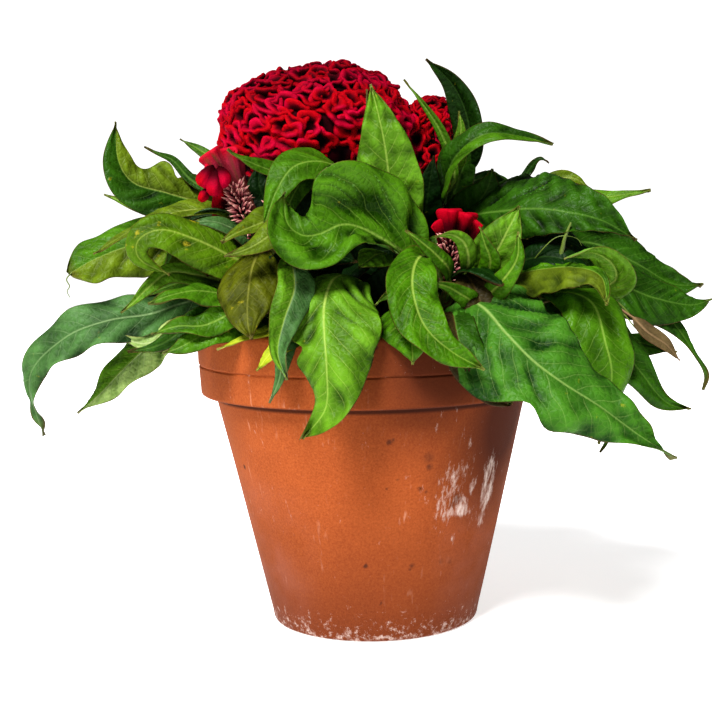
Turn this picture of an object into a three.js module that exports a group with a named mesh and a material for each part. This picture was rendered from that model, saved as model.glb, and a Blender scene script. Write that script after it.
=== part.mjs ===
// Cockscomb celosia growing in a terracotta flowerpot.
// Millimetres, +Z up. The origin is the centre of the pot's foot, on the surface it stands on.
// +X runs along the plant's widest spread of leaves, and -Y is its front.
import * as THREE from 'three';

// ---- Driving dimensions ----

const GAP = 0.3; // clearance left between pieces that touch

// Flowerpot: a standard 20 cm pot, thrown on a wheel, with a drain hole in its floor
const RIM_RADIUS = 100;
const POT_HEIGHT = 171;
const FOOT_RADIUS = 59.6;
const BODY_RADIUS = 89.8; // outside of the wall just under the rim band
const RIM_BAND_HEIGHT = 37.5;
const RIM_GROOVE_HEIGHT = 150.4; // a thin moulded line round the rim band
const WALL = 8;
const RIM_WALL = 10;
const FLOOR = 8;
const DRAIN_RADIUS = 11;
const POT_SIDES = 40;

// Potting soil, filled to a little under the rim
const SOIL_TOP = 158;

// Stems and shoots
const STEM_SIDES = 10;
const STEM_STEPS = 8;
const STEM_UPRIGHT = 6; // a stem stands upright this far above the soil before it leans

// Leaves: a closed loft of flat lens sections along a bent midrib
const BLADE_HALF_THICKNESS = 0.8;
const PETIOLE_RADIUS = 1.6;
const STALK_STATIONS = 2;
const STALK_SQUARE = 3; // a leaf stalk leaves its stem squarely for this far
const BLADE_STATIONS = 8;
const ACROSS = [-1, -0.5, 0, 0.5, 1]; // places across the blade, from edge to edge
const TIP_SHARPNESS = 1.1; // how fast a blade narrows to its tip
const PEAK = 0.38; // where along the blade it is widest
const EASE = 0.1; // a section faces along this much of the midrib to either side of it
const BEND_ROOM = 0.75; // the half inside a bend reaches this part of the bend's radius at most
const FACE_AT = 0.6; // where along its midrib a leaf's face is given
const FACE_STEPS = 60;

// ---- Stems: radius, and the centre line from the soil up ----

const STEMS = {
  main_stem: {
    radius: 7, line: [[0, 0, SOIL_TOP], [-4, 0, 185], [-14, 1, 212], [-23, 2, 234], [-24, 2, 240]],
  },
  left_shoot: { radius: 4, line: [[-24, -12, SOIL_TOP], [-38, -20, 188], [-50, -32, 212], [-62, -42, 234]] },
  left_front_shoot: { radius: 3.5, line: [[-26, -36, SOIL_TOP], [-38, -46, 182], [-44, -50, 208]] },
  front_shoot: { radius: 3.5, line: [[8, -28, SOIL_TOP], [13, -40, 184], [17, -46, 206]] },
  right_shoot: { radius: 4, line: [[30, -28, SOIL_TOP], [38, -42, 180], [43, -55, 190], [44, -57, 199]] },
  right_low_shoot: { radius: 4, line: [[48, -6, SOIL_TOP], [66, -16, 182], [82, -24, 204]] },
  right_back_shoot: { radius: 4, line: [[26, 18, SOIL_TOP], [38, 22, 195], [43, 26, 230], [41, 28, 258]] },
  back_shoot: { radius: 4, line: [[-4, 34, SOIL_TOP], [-6, 50, 195], [-4, 60, 232]] },
  left_back_shoot: { radius: 4, line: [[-34, 22, SOIL_TOP], [-52, 34, 192], [-64, 42, 228]] },
};

// ---- Flower crests: a dome on a flaring neck, as [radius, height] from the top of its stem ----

const CRESTS = {
  main_crest: {
    stem: 'main_stem', squash: [1, 0.8], sides: 26,
    profile: [[0, 0], [8, 0], [17, 8], [40, 16], [51, 24], [56, 36], [55, 50], [47, 64], [33, 75],
      [17, 81.5], [0, 83.5]],
  },
  back_crest: {
    stem: 'right_back_shoot', squash: [1, 1.25], sides: 16,
    profile: [[0, 0], [5, 0], [12, 10], [17, 20], [17.5, 30], [13, 40], [0, 45]],
  },
  left_comb: {
    stem: 'left_shoot', squash: [1, 0.5], sides: 16,
    profile: [[0, 0], [4.5, 0], [6, 16], [12, 27], [18, 36], [17, 42], [0, 45]],
  },
  small_comb: {
    stem: 'right_shoot', squash: [1, 0.5], sides: 16,
    profile: [[0, 0], [4.5, 0], [6, 12], [9, 21], [14, 29], [13, 34], [0, 36]],
  },
};

// ---- Leaves ----
// stem and at: where the leaf stalk leaves, as a part of the stem's length.
// path: the midrib after that. width: greatest half widths, first on the side of tangent x face.
// face: the way the upper side looks over the middle of the leaf.
// stalk: bare part of the path. fold: upward fold of each half, degrees. cup: how far its edges rise.
// peak, and otherPeak on the second side: where it is widest. tip: how fast it narrows to its point.

const LEAVES = {
  leaf_front_hanging: {
    stem: 'front_shoot', at: 0.55, width: [18, 28], face: [-0.2, -1, 0.3], stalk: 0.22, fold: -14,
    peak: 0.36,
    path: [[-2, -62, 195], [-12, -75, 202], [-19, -86, 200], [-23, -98, 188], [-23, -108, 174],
      [-22, -115, 158], [-23, -118, 138], [-35, -113, 122]],
  },
  leaf_front_cupped: {
    stem: 'right_shoot', at: 0.75, width: [32, 22], face: [0.1, -1, 0.3], stalk: 0.18, fold: 12, cup: 0.2,
    peak: 0.4, otherPeak: 0.62, tip: 1.2,
    path: [[32, -62, 200], [20, -70, 209], [7, -77, 217], [-7, -86, 224], [-20, -93, 229],
      [-31, -97, 234], [-40, -97, 239], [-47, -94, 245]],
  },
  leaf_crest_spear: {
    stem: 'main_stem', at: 0.5, width: [19, 20], face: [0, -1, 0.1], stalk: 0.15, fold: 8, peak: 0.42,
    path: [[4, -30, 215], [12, -54, 236], [11, -60, 260], [8, -60, 280], [3, -56, 302]],
  },
  leaf_arched_fold: {
    stem: 'main_stem', at: 0.72, width: [15, 14], face: [-0.3, -0.9, 0.55], stalk: 0.2, fold: -10,
    path: [[-14, -30, 238], [-13, -50, 256], [-24, -64, 262], [-38, -74, 259], [-47, -80, 246],
      [-54, -84, 227]],
  },
  leaf_under_crest: {
    stem: 'main_stem', at: 0.88, width: [8, 7], face: [0, -0.8, 0.6], stalk: 0.3, fold: 10,
    path: [[-30, -30, 240], [-42, -52, 254], [-56, -61, 260], [-67, -65, 265], [-73, -66, 269]],
  },
  leaf_left_pointed: {
    stem: 'left_front_shoot', at: 1, width: [10, 9], face: [0, -0.7, 0.7], stalk: 0.25, fold: 12,
    path: [[-44, -62, 222], [-48, -68, 232], [-59, -76, 229], [-69, -81, 225], [-76, -83, 221]],
  },
  leaf_brown_tip: {
    stem: 'left_front_shoot', at: 0.9, width: [9, 9], face: [0, -0.8, 0.6], stalk: 0.3, fold: 8,
    path: [[-34, -66, 221], [-37, -83, 233], [-47, -91, 226], [-60, -96, 218], [-73, -98, 214]],
  },
  leaf_hanging_narrow: {
    stem: 'left_front_shoot', at: 0.75, width: [10, 11], face: [0.3, -1, 0.4], stalk: 0.2, fold: 10,
    path: [[-39, -66, 208], [-39, -80, 207], [-38, -94, 196], [-43, -107, 181], [-46, -113, 166],
      [-42, -113, 152]],
  },
  leaf_olive_broad: {
    stem: 'left_front_shoot', at: 0.85, width: [17, 16], face: [-0.2, -1, 0.5], stalk: 0.2, fold: -8,
    peak: 0.55,
    path: [[-55, -62, 216], [-60, -78, 209], [-62, -92, 194], [-62, -100, 181], [-60, -103, 172]],
  },
  leaf_glossy_dark: {
    stem: 'front_shoot', at: 0.95, width: [11, 11], face: [0, -0.6, 0.8], stalk: 0.2, fold: -10,
    path: [[12, -58, 211], [6, -68, 213], [0, -78, 210], [-5, -86, 206]],
  },
  leaf_light_curved: {
    stem: 'right_shoot', at: 0.92, width: [14, 13], face: [0.1, -1, 0.4], stalk: 0.12, fold: 6, peak: 0.5,
    path: [[36, -68, 207], [28, -82, 212], [23, -94, 206], [22, -104, 194], [27, -114, 178],
      [39, -120, 166], [56, -121, 156]],
  },
  leaf_over_rim: {
    stem: 'front_shoot', at: 0.35, width: [17, 17], face: [0, -0.85, 0.5], stalk: 0.3, fold: -6,
    peak: 0.5,
    path: [[16, -66, 183], [19, -84, 180], [20, -99, 175.5], [21, -108, 166], [21, -109, 158]],
  },
  leaf_upright_point: {
    stem: 'right_shoot', at: 0.97, width: [12, 13], face: [0, -1, 0.2], stalk: 0.2, fold: 8,
    path: [[58, -67, 202], [66, -76, 212], [73, -79, 225], [79, -76, 236]],
  },
  leaf_rolled: {
    stem: 'right_shoot', at: 0.62, width: [18, 9], face: [0.36, -0.74, 0.57], stalk: 0.15, fold: -16,
    peak: 0.5,
    path: [[57, -54, 194], [74, -57, 199], [92, -67, 203], [108, -86, 204], [118, -97, 199],
      [120, -99, 185]],
  },
  leaf_front_large: {
    stem: 'right_shoot', at: 0.35, width: [31, 33], face: [0.1, -1, 0.6], stalk: 0.16, fold: -8,
    peak: 0.3, tip: 1.3,
    path: [[48, -70, 187], [58, -91, 185], [68, -106, 173], [80, -115, 160], [94, -119, 149],
      [112, -120, 137], [132, -119, 122], [152, -115, 109]],
  },
  leaf_right_under: {
    stem: 'right_low_shoot', at: 0.5, width: [18, 17], face: [0.3, -1, 0.3], stalk: 0.3, fold: -6,
    path: [[88, -46, 186], [106, -64, 190], [117, -78, 184], [121, -88, 166], [124, -90, 146],
      [118, -84, 112]],
  },
  leaf_right_curl: {
    stem: 'right_low_shoot', at: 0.78, width: [12, 12], face: [0.3, -0.9, 0.3], stalk: 0.25, fold: 10,
    path: [[106, -43, 193], [121, -53, 191], [131, -62, 196], [128, -70, 205], [116, -78, 211],
      [101, -82, 208]],
  },
  leaf_right_large: {
    stem: 'right_back_shoot', at: 0.72, width: [15, 32], face: [0, -1, 0.5], stalk: 0.22, fold: -18,
    peak: 0.42,
    path: [[58, -8, 232], [72, -36, 234], [88, -50, 235], [105, -58, 233], [124, -61, 228],
      [143, -59, 217]],
  },
  leaf_right_arched: {
    stem: 'right_back_shoot', at: 0.8, width: [13, 10], face: [-0.2, -0.72, 0.75], stalk: 0.2, fold: 25,
    path: [[44, 2, 240], [44, -16, 251], [50, -27, 265], [65, -32, 276], [85, -30, 275], [103, -27, 270]],
  },
  leaf_back_tall: {
    stem: 'right_back_shoot', at: 0.9, width: [10, 10], face: [-0.5, -1, 0.1], stalk: 0.2, fold: 20,
    path: [[58, 14, 258], [60, 6, 276], [57, 4, 293], [49, 2, 308], [35, 0, 321]],
  },
  leaf_right_light: {
    stem: 'right_back_shoot', at: 0.6, width: [9, 8], face: [0, -0.7, 0.8], stalk: 0.35, fold: 6,
    peak: 0.35,
    path: [[66, 12, 222], [98, 2, 231], [122, -8, 239], [138, -13, 241], [159, -18, 244]],
  },
  leaf_far_right_upper: {
    stem: 'right_low_shoot', at: 0.98, width: [19, 16], face: [0.1, -1, 0.6], stalk: 0.15, fold: -8,
    peak: 0.45,
    path: [[100, -18, 214], [127, -12, 215], [152, -12, 203], [173, -10, 191], [191, -8, 190]],
  },
  leaf_far_right_lower: {
    stem: 'right_low_shoot', at: 0.88, width: [15, 15], face: [0.1, -1, 0.6], stalk: 0.25, fold: -6,
    peak: 0.5,
    path: [[104, -28, 197], [133, -36, 194], [156, -36, 185], [178, -32, 180], [191, -29, 183]],
  },
  leaf_right_tendril: {
    stem: 'right_low_shoot', at: 0.62, width: [11, 12], face: [0.3, -0.8, 0.6], stalk: 0.25, fold: -6,
    peak: 0.3, tip: 1.8,
    path: [[106, -34, 185], [138, -34, 184], [166, -33, 172], [181, -34, 151], [186, -36, 141],
      [184, -38, 133]],
  },
  leaf_right_dark: {
    stem: 'right_low_shoot', at: 0.4, width: [13, 12], face: [0.1, -0.7, 0.8], stalk: 0.3, fold: 6,
    path: [[86, -36, 176], [112, -48, 169], [144, -56, 162], [166, -52, 156]],
  },
  leaf_right_low: {
    stem: 'right_low_shoot', at: 0.26, width: [14, 14], face: [0.2, -0.8, 0.5], stalk: 0.35, fold: -4,
    path: [[78, -44, 178], [104, -64, 178], [126, -72, 168], [141, -76, 149], [155, -74, 132],
      [169, -69, 127]],
  },
  leaf_left_curled_tip: {
    stem: 'left_shoot', at: 0.92, width: [14, 17], face: [0.1, -1, 0.4], stalk: 0.15, fold: 14, peak: 0.4,
    path: [[-76, -22, 237], [-93, -20, 242], [-112, -23, 248], [-130, -25, 254], [-138, -25, 267],
      [-139, -22, 288]],
  },
  leaf_left_big: {
    stem: 'left_shoot', at: 0.55, width: [20, 20], face: [0, -1, 0.5], stalk: 0.15, fold: -10, peak: 0.5,
    tip: 0.7,
    path: [[-74, -14, 218], [-96, -8, 224], [-118, -10, 223], [-136, -13, 219], [-155, -16, 212],
      [-170, -17, 204]],
  },
  leaf_left_long: {
    stem: 'left_shoot', at: 0.78, width: [10, 9], face: [0, -0.5, 1], stalk: 0.12, fold: 8,
    path: [[-66, -44, 230], [-80, -50, 237], [-96, -55, 238], [-112, -58, 234], [-130, -58, 226],
      [-148, -55, 216]],
  },
  leaf_left_spotted: {
    stem: 'left_front_shoot', at: 0.62, width: [13, 14], face: [-0.4, -0.75, 0.5], stalk: 0.1, fold: -8,
    peak: 0.4,
    path: [[-56, -58, 203], [-74, -68, 214], [-91, -75, 223], [-107, -79, 228], [-119, -80, 223],
      [-119, -79, 213], [-104, -77, 204]],
  },
  leaf_left_narrow: {
    stem: 'left_shoot', at: 0.42, width: [6, 7], face: [-0.2, -0.9, 0.4], stalk: 0.3, fold: 10,
    path: [[-70, -44, 196], [-92, -56, 203], [-106, -63, 205], [-116, -71, 198], [-123, -76, 191],
      [-130, -78, 185]],
  },
  leaf_left_bottom_big: {
    stem: 'left_shoot', at: 0.25, width: [14, 14], face: [-0.5, -0.85, 0.4], stalk: 0.1, fold: 5,
    peak: 0.5,
    path: [[-62, -36, 187], [-86, -47, 191], [-101, -54, 188], [-118, -60, 183], [-141, -64, 180],
      [-164, -64, 171], [-184, -60, 150], [-180, -53, 117]],
  },
  leaf_left_arch: {
    stem: 'left_front_shoot', at: 0.45, width: [11, 10], face: [0, -0.7, 0.8], stalk: 0.2, fold: -14,
    path: [[-62, -62, 186], [-76, -71, 193], [-90, -80, 196], [-103, -86, 194], [-114, -88, 190]],
  },
  leaf_left_pale_hanging: {
    stem: 'left_shoot', at: 0.15, width: [13, 12], face: [-0.4, -0.9, 0.4], stalk: 0.45, fold: 4,
    peak: 0.45,
    path: [[-32, -36, 172], [-60, -38, 177], [-88, -40, 177], [-106, -42, 174], [-121, -44, 165],
      [-136, -46, 152], [-148, -46, 140], [-162, -45, 128]],
  },
  leaf_left_rim: {
    stem: 'left_front_shoot', at: 0.22, width: [13, 12], face: [-0.1, -0.8, 0.7], stalk: 0.25, fold: -6,
    path: [[-58, -58, 178], [-76, -72, 178], [-89, -80, 172], [-99, -84, 167], [-108, -84, 164]],
  },
  leaf_back_left_high: {
    stem: 'left_back_shoot', at: 0.95, width: [20, 20], face: [-0.4, 0.5, 1], stalk: 0.15, fold: 10,
    peak: 0.4,
    path: [[-80, 54, 238], [-104, 70, 238], [-128, 84, 226], [-148, 94, 204]],
  },
  leaf_back_left_mid: {
    stem: 'left_back_shoot', at: 0.6, width: [20, 20], face: [-0.4, 0.3, 1], stalk: 0.2, fold: -8,
    path: [[-76, 36, 208], [-106, 42, 206], [-136, 46, 190], [-160, 48, 164]],
  },
  leaf_back_left_up: {
    stem: 'left_back_shoot', at: 0.8, width: [16, 16], face: [0, 1, 0.4], stalk: 0.15, fold: 14,
    path: [[-60, 62, 226], [-66, 80, 240], [-72, 98, 244], [-80, 116, 234]],
  },
  leaf_back_centre: {
    stem: 'back_shoot', at: 0.92, width: [22, 22], face: [0, 0.8, 0.8], stalk: 0.15, fold: -8, peak: 0.38,
    path: [[-6, 76, 234], [-10, 98, 236], [-14, 116, 224], [-16, 128, 198]],
  },
  leaf_back_low: {
    stem: 'back_shoot', at: 0.3, width: [17, 17], face: [-0.2, 0.8, 0.8], stalk: 0.2, fold: -4,
    path: [[-16, 66, 180], [-30, 88, 181], [-42, 106, 170], [-50, 118, 146]],
  },
  leaf_back_mid: {
    stem: 'back_shoot', at: 0.6, width: [18, 18], face: [0.2, 0.8, 0.8], stalk: 0.2, fold: -8,
    path: [[12, 70, 204], [28, 90, 202], [40, 108, 186], [46, 120, 160]],
  },
  leaf_back_right_high: {
    stem: 'right_back_shoot', at: 0.66, width: [20, 19], face: [0.4, 0.5, 1], stalk: 0.15, fold: 8,
    path: [[60, 44, 232], [80, 64, 240], [100, 82, 234], [118, 96, 214]],
  },
  leaf_back_right_low: {
    stem: 'right_back_shoot', at: 0.4, width: [20, 20], face: [0.4, 0.6, 1], stalk: 0.2, fold: -8,
    path: [[58, 42, 200], [84, 62, 200], [108, 78, 186], [130, 88, 160]],
  },
  leaf_right_side: {
    stem: 'right_low_shoot', at: 0.72, width: [19, 19], face: [0.5, 0.5, 1], stalk: 0.2, fold: 8,
    path: [[100, 2, 204], [126, 16, 206], [150, 26, 190], [170, 30, 166]],
  },
};

// ---- Finishes ----

/** A plain non-metal finish. */
function finish(color, roughness) {
  return new THREE.MeshStandardMaterial({ color, roughness, metalness: 0 });
}

const terracotta = finish(0xa8532e, 0.85);
const soilMix = finish(0x2a1f17, 0.95);
const stemSkin = finish(0x6f8a34, 0.6);
const leafSkin = finish(0x3f7a2c, 0.5);
const crestVelvet = finish(0xb3122c, 0.8);

// ---- Shape makers ----

/** A smooth curve through points given as [x, y, z]. */
function curveThrough(points) {
  return new THREE.CatmullRomCurve3(points.map((p) => new THREE.Vector3(...p)), false, 'catmullrom', 0.5);
}

/** Turns a profile of [radius, height] round the Z axis. */
function turned(profile, sides) {
  const geometry = new THREE.LatheGeometry(profile.map(([r, z]) => new THREE.Vector2(r, z)), sides);
  return geometry.rotateX(Math.PI / 2);
}

function potGeometry() {
  const rimFoot = POT_HEIGHT - RIM_BAND_HEIGHT;
  const inner = RIM_RADIUS - RIM_WALL;
  return turned([
    [DRAIN_RADIUS, 0], [FOOT_RADIUS - 1.2, 0], [FOOT_RADIUS, 1.2],
    [BODY_RADIUS, rimFoot - 1], [RIM_RADIUS - 2.8, rimFoot], [RIM_RADIUS - 1.4, rimFoot + 2],
    [RIM_RADIUS - 0.9, RIM_GROOVE_HEIGHT - 0.8], [RIM_RADIUS - 1.4, RIM_GROOVE_HEIGHT],
    [RIM_RADIUS - 0.7, RIM_GROOVE_HEIGHT + 0.8], [RIM_RADIUS, POT_HEIGHT - 2.4],
    [RIM_RADIUS - 1.8, POT_HEIGHT - 0.4], [RIM_RADIUS - 5, POT_HEIGHT], [inner + 1.6, POT_HEIGHT - 1.2],
    [inner, POT_HEIGHT - 4], [BODY_RADIUS - WALL, rimFoot - 4], [FOOT_RADIUS - WALL, FLOOR],
    [DRAIN_RADIUS, FLOOR], [DRAIN_RADIUS, 0],
  ], POT_SIDES);
}

/** Soil: a plug that follows the pot's inside wall, one gap away from it. */
function soilGeometry() {
  const rimFoot = POT_HEIGHT - RIM_BAND_HEIGHT;
  const bandSlope = (RIM_RADIUS - RIM_WALL - (BODY_RADIUS - WALL)) / (POT_HEIGHT - 4 - (rimFoot - 4));
  const clear = 1.5 * GAP; // the wall leans, so a level gap is a little more than a square one
  const topRadius = BODY_RADIUS - WALL + bandSlope * (SOIL_TOP - (rimFoot - 4)) - clear;
  return turned([
    [0, FLOOR + GAP], [FOOT_RADIUS - WALL - clear, FLOOR + GAP], [BODY_RADIUS - WALL - clear, rimFoot - 4],
    [topRadius, SOIL_TOP], [0, SOIL_TOP],
  ], POT_SIDES);
}

/** The centre line of a stem. It leaves the soil upright, one gap above it. */
function stemCurve(name) {
  const [[x, y, soil], ...rest] = STEMS[name].line;
  return curveThrough([[x, y, soil + GAP], [x, y, soil + STEM_UPRIGHT], ...rest]);
}

/** A round stem swept along its centre line. */
function stemGeometry(name) {
  const section = new THREE.Shape();
  section.absarc(0, 0, STEMS[name].radius, 0, 2 * Math.PI);
  return new THREE.ExtrudeGeometry(section, {
    extrudePath: stemCurve(name), steps: STEM_STEPS, curveSegments: STEM_SIDES / 2, bevelEnabled: false,
  });
}

/** A crest stands one gap above the end of its stem and leans the way the stem ends. */
function crestMesh(name) {
  const { stem, squash, sides, profile } = CRESTS[name];
  const curve = stemCurve(stem);
  const along = curve.getTangentAt(1);
  const crest = new THREE.Mesh(turned(profile, sides).scale(squash[0], squash[1], 1), crestVelvet);
  crest.position.copy(curve.getPointAt(1)).addScaledVector(along, GAP);
  crest.quaternion.setFromUnitVectors(new THREE.Vector3(0, 0, 1), along);
  return crest;
}

/** The midrib: square off its stem, one gap clear of the bark, then through the leaf's own points. */
function midrib(leaf) {
  const stem = stemCurve(leaf.stem);
  const centre = stem.getPointAt(leaf.at);
  const along = stem.getTangentAt(leaf.at);
  const out = new THREE.Vector3(...leaf.path[0]).sub(centre);
  out.addScaledVector(along, -out.dot(along)).normalize();
  const foot = centre.clone().addScaledVector(out, STEMS[leaf.stem].radius + GAP);
  const elbow = foot.clone().addScaledVector(out, STALK_SQUARE);
  return curveThrough([foot.toArray(), elbow.toArray(), ...leaf.path]);
}

/** The way a curve runs at s, taken over a stretch to either side that shrinks to nothing at its ends. */
function easedTangent(curve, s) {
  const reach = Math.min(s, 1 - s, EASE);
  if (reach < 1e-3) {
    return curve.getTangentAt(s);
  }
  return curve.getPointAt(s + reach).sub(curve.getPointAt(s - reach)).normalize();
}

/** The way a leaf's upper side looks along its midrib, carried both ways from FACE_AT without a twist. */
function carriedFaces(leaf, curve) {
  const square = (normal, i) => {
    const tangent = easedTangent(curve, i / FACE_STEPS);
    return normal.clone().addScaledVector(tangent, -normal.dot(tangent)).normalize();
  };
  const start = Math.round(FACE_AT * FACE_STEPS);
  const faces = [];
  faces[start] = square(new THREE.Vector3(...leaf.face), start);
  for (let i = start + 1; i <= FACE_STEPS; i += 1) {
    faces[i] = square(faces[i - 1], i);
  }
  for (let i = start - 1; i >= 0; i -= 1) {
    faces[i] = square(faces[i + 1], i);
  }
  return faces;
}

/**
 * One lens-shaped ring of a leaf: the upper points from edge to edge, then the lower ones back.
 * s runs along the midrib and v along the blade, both 0 to 1. A half folds up by its angle and
 * cups by a part of its width.
 */
function leafRing(leaf, curve, faces, s, v) {
  const { width, fold = 0, cup = 0, tip = TIP_SHARPNESS, peak = PEAK, otherPeak = peak } = leaf;
  const centre = curve.getPointAt(s);
  const tangent = easedTangent(curve, s);
  const normal = faces[Math.round(s * FACE_STEPS)].clone();
  normal.addScaledVector(tangent, -normal.dot(tangent)).normalize();
  const side = new THREE.Vector3().crossVectors(tangent, normal);
  const [before, after] = [Math.max(0, s - EASE), Math.min(1, s + EASE)];
  const turn = easedTangent(curve, after).sub(easedTangent(curve, before)).dot(side);
  const bend = turn / ((after - before) * curve.getLength());
  const spreadWith = (p) => Math.pow(v / p, tip * p / (1 - p)) * Math.pow((1 - v) / (1 - p), tip);
  const spreads = [spreadWith(peak), spreadWith(otherPeak)];
  const thick = THREE.MathUtils.lerp(PETIOLE_RADIUS, BLADE_HALF_THICKNESS, Math.min(1, 6 * v));
  const place = (u, lift) => {
    const half = u > 0 ? 0 : 1;
    const spread = spreads[half];
    const room = u * bend > 0 ? BEND_ROOM / Math.abs(bend) : Infinity;
    const reach = Math.max(Math.min(width[half] * spread, room), thick);
    const angle = THREE.MathUtils.degToRad(fold) * spread;
    const away = Math.abs(u) * reach;
    const rise = away * Math.sin(angle) + cup * reach * u * u * spread;
    return centre.clone()
      .addScaledVector(side, Math.sign(u) * away * Math.cos(angle))
      .addScaledVector(normal, rise + lift * thick * (1 - u * u));
  };
  return [...ACROSS.map((u) => place(u, 1)), ...ACROSS.slice(1, -1).reverse().map((u) => place(u, -1))];
}

/** A leaf: a closed loft of rings with a flat foot and a pointed tip. */
function leafGeometry(leaf) {
  const curve = midrib(leaf);
  const faces = carriedFaces(leaf, curve);
  const rings = [];
  for (let i = 0; i < STALK_STATIONS; i += 1) {
    rings.push(leafRing(leaf, curve, faces, leaf.stalk * i / STALK_STATIONS, 0));
  }
  for (let i = 0; i < BLADE_STATIONS; i += 1) {
    const v = i / BLADE_STATIONS;
    rings.push(leafRing(leaf, curve, faces, leaf.stalk + (1 - leaf.stalk) * v, v));
  }
  const round = rings[0].length;
  const points = rings.flat();
  const foot = points.push(curve.getPointAt(0)) - 1;
  const end = points.push(curve.getPointAt(1)) - 1;
  const last = (rings.length - 1) * round;
  const triangles = [];
  for (let j = 0; j < round; j += 1) {
    const k = (j + 1) % round;
    triangles.push([foot, k, j], [end, last + j, last + k]);
    const upper = j < ACROSS.length - 1; // the lower side is cut along the same lines as the upper one
    for (let row = 0; row < last; row += round) {
      const [a, b, c, d] = [row + j, row + k, row + round + k, row + round + j];
      triangles.push(...(upper ? [[a, b, c], [a, c, d]] : [[a, b, d], [b, c, d]]));
    }
  }
  const geometry = new THREE.BufferGeometry();
  geometry.setAttribute('position', new THREE.Float32BufferAttribute(points.flatMap((p) => p.toArray()), 3));
  geometry.setIndex(triangles.flat());
  geometry.computeVertexNormals();
  return geometry;
}

// ---- The plant in its pot ----

const celosia = new THREE.Group();

/** Adds a piece to the plant under its name. */
function add(name, mesh) {
  mesh.name = name;
  celosia.add(mesh);
}

add('flowerpot', new THREE.Mesh(potGeometry(), terracotta));
add('potting_soil', new THREE.Mesh(soilGeometry(), soilMix));
for (const name of Object.keys(STEMS)) {
  add(name, new THREE.Mesh(stemGeometry(name), stemSkin));
}
for (const name of Object.keys(CRESTS)) {
  add(name, crestMesh(name));
}
for (const [name, leaf] of Object.entries(LEAVES)) {
  add(name, new THREE.Mesh(leafGeometry(leaf), leafSkin));
}

export default celosia;
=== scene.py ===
"""Cockscomb celosia in a terracotta flowerpot.

The tables are in millimetres, +Z up, with the origin at the middle of the pot's foot. Every piece is
worked out in millimetres as whole numpy arrays and put into its mesh in metres.
"""
import math
from functools import partial

import bpy
import numpy as np
from mathutils import Matrix


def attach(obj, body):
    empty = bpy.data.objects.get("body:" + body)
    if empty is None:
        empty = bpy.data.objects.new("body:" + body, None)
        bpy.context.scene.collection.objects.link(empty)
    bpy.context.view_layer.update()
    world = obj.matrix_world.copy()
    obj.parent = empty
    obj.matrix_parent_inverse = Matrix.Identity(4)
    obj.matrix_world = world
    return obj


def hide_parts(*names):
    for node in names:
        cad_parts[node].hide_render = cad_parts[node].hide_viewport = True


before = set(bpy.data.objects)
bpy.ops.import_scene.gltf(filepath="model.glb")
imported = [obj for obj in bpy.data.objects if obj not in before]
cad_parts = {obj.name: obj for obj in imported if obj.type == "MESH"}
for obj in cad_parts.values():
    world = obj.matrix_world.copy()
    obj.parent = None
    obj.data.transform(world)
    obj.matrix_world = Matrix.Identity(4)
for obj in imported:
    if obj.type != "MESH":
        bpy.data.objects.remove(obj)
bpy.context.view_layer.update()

MM = 0.001
GAP = 0.3
GOLDEN_ANGLE = np.pi * (3 - np.sqrt(5))
# the golden angle rounded, and the golden ratio less one
FLORET_TURN = 2.39996
GOLDEN_SHARE = 0.618

# ---- Real sizes, as in the model ----

RIM_RADIUS = 100.0
POT_HEIGHT = 171.0
FOOT_RADIUS = 59.6
BODY_RADIUS = 89.8
RIM_BAND_HEIGHT = 37.5
RIM_GROOVE_HEIGHT = 150.4
BAND_FOOT = POT_HEIGHT - RIM_BAND_HEIGHT
WALL = 8.0
RIM_WALL = 10.0
FLOOR = 8.0
DRAIN_RADIUS = 11.0
SOIL_TOP = 158.0
SOIL_RADIUS = 88.0
STEM_UPRIGHT = 6.0
PETIOLE_RADIUS = 1.6
STALK_SQUARE = 3.0

# ---- How every leaf is shaped ----

# Sharpness of the tip and place of the widest part, how far the tangent is eased, the room a bend leaves for
# the blade, where along it the face is given, steps and rows along it, and half its thickness
TIP_SHARPNESS = 1.1
PEAK = 0.38
EASE = 0.1
BEND_ROOM = 0.75
FACE_AT = 0.6
FACE_STEPS = 60
STALK_ROWS = 7
BLADE_HALF = 0.3
# Rows along a leaf and columns across it: the leaves that are seen closest, the others, young and hidden ones
FINE_GRID, LEAF_GRID, YOUNG_GRID, HIDDEN_GRID = (84, 41), (56, 27), (40, 19), (30, 15)

# Each stem's radius and centre line
STEMS = {
    "main_stem": (7, [(0, 0, SOIL_TOP), (-4, 0, 185), (-14, 1, 212), (-23, 2, 234), (-24, 2, 240)]),
    "left_shoot": (4, [(-24, -12, SOIL_TOP), (-38, -20, 188), (-50, -32, 212), (-62, -42, 234)]),
    "left_front_shoot": (3.5, [(-26, -36, SOIL_TOP), (-38, -46, 182), (-44, -50, 208)]),
    "front_shoot": (3.5, [(8, -28, SOIL_TOP), (13, -40, 184), (17, -46, 206)]),
    "right_shoot": (4, [(30, -28, SOIL_TOP), (38, -42, 180), (43, -55, 190), (44, -57, 199)]),
    "right_low_shoot": (4, [(48, -6, SOIL_TOP), (66, -16, 182), (82, -24, 204)]),
    "right_back_shoot": (4, [(26, 18, SOIL_TOP), (38, 22, 195), (43, 26, 230), (41, 28, 258)]),
    "back_shoot": (4, [(-4, 34, SOIL_TOP), (-6, 50, 195), (-4, 60, 232)]),
    "left_back_shoot": (4, [(-34, 22, SOIL_TOP), (-52, 34, 192), (-64, 42, 228)]),
}


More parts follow.
